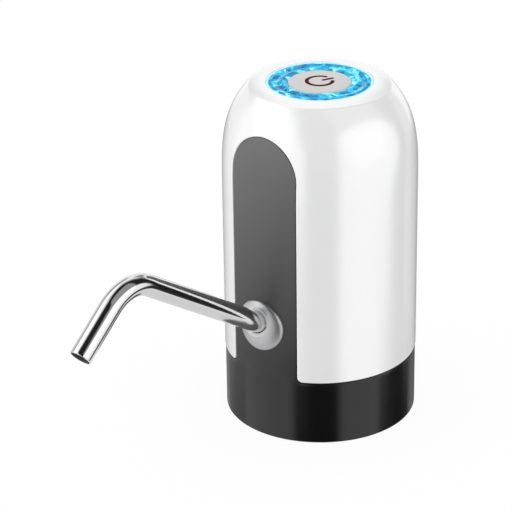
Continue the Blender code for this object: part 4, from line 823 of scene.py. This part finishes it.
flat = (edge - spout_root)[:, [0, 2]]
beside = flat + unit(flat - flat.mean(0)) * LIP
lip = curve(LIP_ROWS, funnel[-1], edge, dome_point(beside))
rim_turn = np.arctan2(beside[:, 1] + COLLAR_DROP, beside[:, 0])
rim_flat = (COLLAR_RADIUS * np.stack([np.cos(rim_turn), np.sin(rim_turn)], -1)
            - (0, COLLAR_DROP))
share = np.sin(np.linspace(0, math.pi / 2, DOME_ROWS))[:, None, None]
dome = dome_point(beside + (rim_flat - beside) * share)
wall = np.stack([dome_point(rim_flat), dome_point(rim_flat, COLLAR_EDGE + GAP)])
collar = make_piece("collar", [(rows, False, True) for rows in (throat, funnel, lip, dome, wall)],
                    "root", "satin_collar", ["spout_collar"], sharp=35)
centres = np.array([face.center for face in collar.data.polygons]) - spout_root
off_axis = np.linalg.norm(centres - (centres @ spout_out)[:, None] * spout_out, axis=1)
# The funnel's faces get the lighter finish: a painted highlight.
second_finish(collar, "funnel_painted_highlight", off_axis < MOUTH_RADIUS + LIP / 2)

# %% [markdown]
# The ring round the button is clear plastic cut like a gem. A turned ring with a bump would be
# easier, but it can't glitter. So the ring has two rows of flat facets between twisted loops
# of corners. They meet at crisp edges, with a tiny bevel that catches a line of light. Every
# facet carries a random number for its finish.

# %% Crystal ring
FACETS, SEED = 28, 5
RING_WIDTH, RING_SINK, RING_DIP = 8.1 * MM, 0.4 * MM, 0.5 * MM
RING_BEVEL, BEVEL_FROM = 0.12 * MM, math.radians(8)
CAP_RADIUS = RING_RADIUS - RING_WIDTH
CAP_OPENING = CAP_RADIUS + FINE_GAP
width = RING_RADIUS - CAP_OPENING
ring_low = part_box("light_ring")[0].z
loops = [(0, ring_low, 0), (0, BODY_TOP - RING_SINK, 0), (1/4, BODY_TOP, 1),
         (1/2, BODY_TOP - RING_DIP, 0), (3/4, BODY_TOP, 1), (1, BODY_TOP - RING_SINK, 0),
         (1, ring_low, 0)]          # share of the width, height, half a step on or not


def facet_mesh(name):
    """Triangles between the loops of corners, of which every second one is half a step on."""
    i = np.arange(FACETS)
    j = (i + 1) % FACETS
    corners, faces = [], []
    for k, (share, height, half) in enumerate(loops):
        angle = (i + half / 2) * math.tau / FACETS + math.pi / 2
        corners.append(round_axis(angle, CAP_OPENING + width * share, height))
        after = (k + 1) % len(loops)
        a, b = k * FACETS, after * FACETS
        pair = ([(a + i, b + i, a + j), (a + j, b + i, b + j)] if half < loops[after][2]
                else [(a + i, b + i, b + j), (a + i, b + j, a + j)])
        faces += [np.stack(face, 1) for face in pair]
    return welded(name, np.concatenate(corners), np.concatenate(faces))


ring = hang_piece("crystal_ring", facet_mesh("crystal_ring"), "root", "blue_crystal",
                  ["light_ring"])
tones = np.random.default_rng(SEED).random(len(ring.data.polygons)).astype(np.float32)
ring.data.attributes.new("facet_tone", 'FLOAT', 'FACE').data.foreach_set("value", tones)
bevel = ring.modifiers.new("edges", 'BEVEL')
bevel.width, bevel.segments, bevel.limit_method = RING_BEVEL, 1, 'ANGLE'
bevel.angle_limit = BEVEL_FROM
print("tones from", round(float(tones.min()), 3), "to", round(float(tones.max()), 3))

# %% [markdown]
# The push button is a pearly disc with a very low crown and a rounded edge, so it is a turned
# form: one outline, carried round the body's axis. The outline goes on down the skirt and
# back under the cap, which keeps the piece closed.

# %% Push button
CROWN, CAP_EDGE = 0.3 * MM, 0.5 * MM
CAP_SIDES, CROWN_STEPS, CAP_EDGE_STEPS = 96, 14, 7


def cap_height(radius):
    """The crown: the top less crown * (radius / reach) squared."""
    return BODY_TOP - CROWN * (radius / (CAP_RADIUS - CAP_EDGE))**2


crown_radius = np.linspace(0, CAP_RADIUS - CAP_EDGE, CROWN_STEPS)
round_turn = turns(90, 0, CAP_EDGE_STEPS)[1:]
edge_round = np.stack([CAP_RADIUS - CAP_EDGE + CAP_EDGE * np.cos(round_turn),
                       BODY_TOP - CROWN - CAP_EDGE + CAP_EDGE * np.sin(round_turn)], 1)
cap_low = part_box("button_cap")[0].z
cap_outline = np.vstack([np.stack([crown_radius, cap_height(crown_radius)], 1), edge_round,
                         [[CAP_RADIUS, cap_low], [0, cap_low]]])
cap = round_axis(full_turn(CAP_SIDES), cap_outline[:, :1], cap_outline[:, 1:])
make_piece("push_button", [(cap, False, True)], "button", "pearl_button", ["button_cap"])

# %% [markdown]
# The power mark on the button is a thin printed layer: an open circle and a bar. It is made
# as its own mesh that follows the crown a hair above it, so it stays crisp from any distance.

# %% Power mark
MARK_RADIUS, MARK_WIDTH, MARK_LIFT = 4.9 * MM, 1.5 * MM, 0.02 * MM
BAR_TURN, MARK_GAP = math.radians(67.5), math.radians(32)
BAR_START, BAR_END = 1.6 * MM, 5.4 * MM
CIRCLE_STEPS, BAR_STEPS, END_TURN = 90, 12, turns(90, 0, 8)[:-1, None]


def ribbon(line):
    """Left and right edges of a band along a line, with round ends.

    At half * sin a beyond an end of the line, the band is half * cos a wide to each side.
    """
    along = unit(np.gradient(line, axis=0))
    side = np.stack([-along[:, 1], along[:, 0]], 1)
    half = MARK_WIDTH / 2
    beyond, spare = half * np.sin(END_TURN), half * np.cos(END_TURN)
    middle = np.vstack([line[0] - along[0] * beyond, line, line[-1] + along[-1] * beyond[::-1]])
    reach = np.vstack([side[0] * spare, side * half, side[-1] * spare[::-1]])
    return np.stack([middle - reach, middle + reach], 1)


def on_crown(flat, lift):
    """Put flat points on the button's crown."""
    radius = np.hypot(flat[..., 0], flat[..., 1])
    return np.stack([flat[..., 0], BODY_Y + flat[..., 1], cap_height(radius) + lift], -1)


def make_mark(name, line):
    """A closed thin band along the line, half in the crown and half above it."""
    band = ribbon(line)
    sheet = np.stack([on_crown(band[:, k], lift) for k, lift in
                      ((0, MARK_LIFT), (1, MARK_LIFT), (1, -MARK_LIFT), (0, -MARK_LIFT))], 1)
    rows = len(sheet)
    ends = [[0, 1, 2, 3], [(rows - 1) * 4 + k for k in (3, 2, 1, 0)]]
    mesh = welded(name, sheet.reshape(-1, 3), np.vstack([grid_faces(rows, 4, False, True), ends]))
    mesh.materials.append(finishes["maroon_print"])
    obj = add_object(name, mesh)
    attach(obj, "button")


sweep = np.linspace(BAR_TURN + MARK_GAP, BAR_TURN + math.tau - MARK_GAP, CIRCLE_STEPS)
make_mark("mark_circle", MARK_RADIUS * np.stack([np.cos(sweep), np.sin(sweep)], 1))
bar = np.linspace(BAR_START, BAR_END, BAR_STEPS)[:, None]
make_mark("mark_bar", bar * np.array([[math.cos(BAR_TURN), math.sin(BAR_TURN)]]))

# %% [markdown]
# The floor is a plain pale sheet. To the camera it glows, so that it meets the white backdrop
# without a line, but a part of it stays an ordinary surface that keeps the soft shadow.
# Mirrored rays pass it by and reach the white surround, as over a small clear plate.

# %% Floor
FLOOR_SIZE, GLOW_SHARE = 60.0, 0.93
PAPER, PAPER_ROUGH = (0.93, 0.93, 0.93, 1), 0.9


def seen_rays(tree):
    """A number that is 1 for camera, glossy and transmitted rays, and 0 for all others."""
    path = tree.nodes.new("ShaderNodeLightPath").outputs
    total = math_node(tree, 'ADD', path["Is Camera Ray"], path["Is Glossy Ray"])
    total = math_node(tree, 'ADD', total, path["Is Transmission Ray"])
    return math_node(tree, 'MINIMUM', total, 1.0)


floor_mesh = bpy.data.meshes.new("floor")
half = FLOOR_SIZE / 2
floor_mesh.from_pydata([(-half, -half, 0), (half, -half, 0), (half, half, 0), (-half, half, 0)],
                       [], [(0, 1, 2, 3)])
floor = add_object("floor", floor_mesh)
floor.visible_glossy = False
paper, tree, plain, place = new_material("paper")
set_inputs(tree, plain, {"Base Color": PAPER, "Roughness": PAPER_ROUGH})
glow = tree.nodes.new("ShaderNodeEmission")
share = math_node(tree, 'MULTIPLY', seen_rays(tree), GLOW_SHARE)
mix = add_node(tree, "MixShader", {"Fac": share, 1: plain.outputs["BSDF"],
                                   2: glow.outputs["Emission"]})
set_inputs(tree, tree.nodes["Material Output"], {"Surface": mix.outputs["Shader"]})
floor_mesh.materials.append(paper)
print("floor", FLOOR_SIZE, "m wide")

# %% [markdown]
# The world gives even light, a little weaker from overhead, and is white where the camera
# sees it. Mirrored rays see it white with black cloths. Polished metal only looks like metal
# when it has something dark to mirror, so photographers hang such cloths round it. One, a hoop
# that rises behind the object on the right and ends overhead, draws the black line along the
# spout. The others hang upright and give the glossy base and shell their dark edges. The
# surround is grey behind the object and below it, and two grey wedges high up behind it make
# the crease round the top visible. Each pair of numbers is a soft edge's start and end.

# %% Numbers and helpers for the world
AMBIENT, OVERHEAD, OVERHEAD_GREY = 1.07, (0.2, 0.9), 0.78
CLOTH, SOFT = 0.015, 0.05  # how bright black cloth is, half the width of its edges
HOOP_FOOT = -0.48
HOOP_RIGHT, HOOP_LEFT, HOOP_FADE = (0.68, 0.60), (-0.58, 0.42), (0.75, 0.12)  # rise, at its foot
DROPS = ((32.5, 22.5, -0.65, -0.455, 0.05, 1.0),  # turn, half width, foot, head, fade, dark
         (41.5, 13.5, -0.455, 0.55, 0.08, 1.0),
         (144, 25, -0.54, -0.475, 0.03, 1.0),
         (-90, 18, -0.56, -0.475, 0.03, 0.6),
         (-98, 12, -0.47, 0.40, 0.10, 0.3),
         (170, 11, -0.47, 0.35, 0.10, 0.5))
DROP_FADE, FOOT_BELOW, FOOT_ABOVE = 10, 0.05, 0.02
BACK_GREY, AWAY, BACK_EDGE = 0.20, (-0.515, 0.857), (0.55, 0.90)
BACK_FOOT, BACK_HEAD = (-0.64, -0.54), (-0.15, -0.30)
PHOTO_TURN = math.radians(37.7)  # from which side the photograph was taken
WEDGE_GREY, WEDGE_SIDE, WEDGE_BEYOND = 0.35, (0.06, 0.20), (0.35, 0.60)
WEDGE_FOOT, WEDGE_HEAD = (0.20, 0.34), (0.68, 0.54)
BELOW_GREY, BELOW = 0.76, (-0.52, -0.70)
world = bpy.data.worlds.new("studio")
bpy.context.scene.world = world
world.use_nodes = True
tree = world.node_tree


def ramp(value, start, end):
    """A smooth step from 0 at start to 1 at end."""
    return map_range(tree, value, start, end, form='SMOOTHSTEP')


def calc(operation, first, *others):
    """The value after the operation with each of the others in turn."""
    for other in others:
        first = math_node(tree, operation, first, other)
    return first


def times(*values):
    return calc('MULTIPLY', *values)


def line(value, rise, foot):
    """value * rise + foot."""
    return math_node(tree, 'MULTIPLY_ADD', value, rise, foot)


def facing(a, b):
    """a * x + b * y."""
    return line(x, a, times(y, b))


def dimmed(light, share, grey):
    """light * (1 - share * (1 - grey))."""
    return times(light, line(share, grey - 1, 1.0))


print("upright cloths:", len(DROPS))

# %% The world's nodes
place = tree.nodes.new("ShaderNodeTexCoord").outputs["Generated"]
x, y, z = add_node(tree, "SeparateXYZ", {0: place}).outputs
steep = times(z, z)
rising = times(steep, calc('GREATER_THAN', z, 0.0))
right_end, left_end = line(steep, *HOOP_RIGHT), line(rising, *HOOP_LEFT)
left_white = calc('SUBTRACT', left_end, line(rising, *HOOP_FADE))
hoop = times(ramp(x, calc('ADD', right_end, SOFT), calc('SUBTRACT', right_end, SOFT)),
             ramp(x, left_white, left_end), ramp(z, HOOP_FOOT - SOFT, HOOP_FOOT + SOFT))

back = times(ramp(facing(*AWAY), *BACK_EDGE), ramp(z, *BACK_FOOT), ramp(z, *BACK_HEAD))
cos, sin = math.cos(PHOTO_TURN), math.sin(PHOTO_TURN)
wedge = times(ramp(math_node(tree, 'ABSOLUTE', facing(cos, sin)), *WEDGE_SIDE),
              ramp(facing(-sin, cos), *WEDGE_BEYOND), ramp(z, *WEDGE_FOOT),
              ramp(z, *WEDGE_HEAD))
light = 1.0
for share, grey in ((back, BACK_GREY), (hoop, CLOTH), (wedge, WEDGE_GREY),
                    (ramp(z, *BELOW), BELOW_GREY)):
    light = dimmed(light, share, grey)
azimuth = calc('ARCTAN2', x, times(y, -1.0))
for turn, half, foot, head, fade, dark in DROPS:
    off = math_node(tree, 'ABSOLUTE', calc('SUBTRACT', azimuth, math.radians(turn)))
    drop = times(ramp(off, math.radians(half + DROP_FADE), math.radians(half)),
                 ramp(z, foot - FOOT_BELOW, foot + FOOT_ABOVE), ramp(z, head + fade, head))
    light = dimmed(light, drop, 1 - dark * (1 - CLOTH))
seen = calc('MAXIMUM', light, tree.nodes.new("ShaderNodeLightPath").outputs["Is Camera Ray"])
level = add_node(tree, "Mix", {"Factor": seen_rays(tree), "B": seen,
                               "A": dimmed(AMBIENT, ramp(z, *OVERHEAD), OVERHEAD_GREY)})
set_inputs(tree, tree.nodes["Background"], {"Color": (1, 1, 1, 1),
                                            "Strength": level.outputs["Result"]})
print("world: ambient", AMBIENT, "and", len(tree.nodes), "nodes")

# %% [markdown]
# The camera stands where it stood for the photograph. Its place was fitted to the outlines of
# the body: 25 degrees above the object and 38 degrees round to the right of the spout.

# %% Camera
FOCAL_PIXELS, PICTURE_PIXELS, SENSOR = 2428.8, 512, 36
STAND = Vector((0, -0.85443, 0.46432))  # from the body's foot, before the turn
RIGHT = Vector((0.99964793, 0.02274917, -0.01365589))
UP = Vector((0.00266858, 0.42586122, 0.90478456))
camera_data = bpy.data.cameras.new("camera")
camera_data.lens, camera_data.sensor_width = FOCAL_PIXELS / PICTURE_PIXELS * SENSOR, SENSOR
camera_data.clip_start, camera_data.clip_end = 0.01, 100
camera = add_object("camera", camera_data)
bpy.context.scene.camera = camera
camera.matrix_world = (Matrix.Translation((0, BODY_Y, 0)) @ Matrix.Rotation(PHOTO_TURN, 4, 'Z')
                       @ Matrix.Translation(STAND)
                       @ Matrix((RIGHT, UP, RIGHT.cross(UP))).transposed().to_4x4())
print("camera at", [round(v, 3) for v in camera.matrix_world.translation])

# %% [markdown]
# Soft studio light: two wide soft boxes, left and right of the camera, and a high one on the
# left, where the spout's end leg mirrors it beside its black line. The right one is tall, so
# its highlight on the dome is soft.

# %% Lamps
LAMP_DISTANCE = 1.3


def soft_box(name, azimuth, elevation, width, height, power):
    """Area lamp aimed at the body's middle, placed by its direction from there."""
    data = bpy.data.lights.new(name, 'AREA')
    data.shape = 'RECTANGLE'
    data.size, data.size_y, data.energy = width, height, power
    lamp = add_object(name, data)
    a, e = math.radians(azimuth), math.radians(elevation)
    towards = Vector((math.sin(a) * math.cos(e), -math.cos(a) * math.cos(e), math.sin(e)))
    lamp.location = Vector((0, BODY_Y, BODY_TOP / 2)) + towards * LAMP_DISTANCE
    lamp.rotation_euler = towards.to_track_quat('Z', 'Y').to_euler()


soft_box("left_box", -24, 25, 1.2, 1.4, 1.9)
soft_box("right_box", 99, 38, 1.4, 2.4, 3.2)
soft_box("high_box", -65, 50, 1.2, 1.2, 1.6)
print("lamps:", len(bpy.data.lights))

bpy.context.scene.view_settings.view_transform = 'Standard'
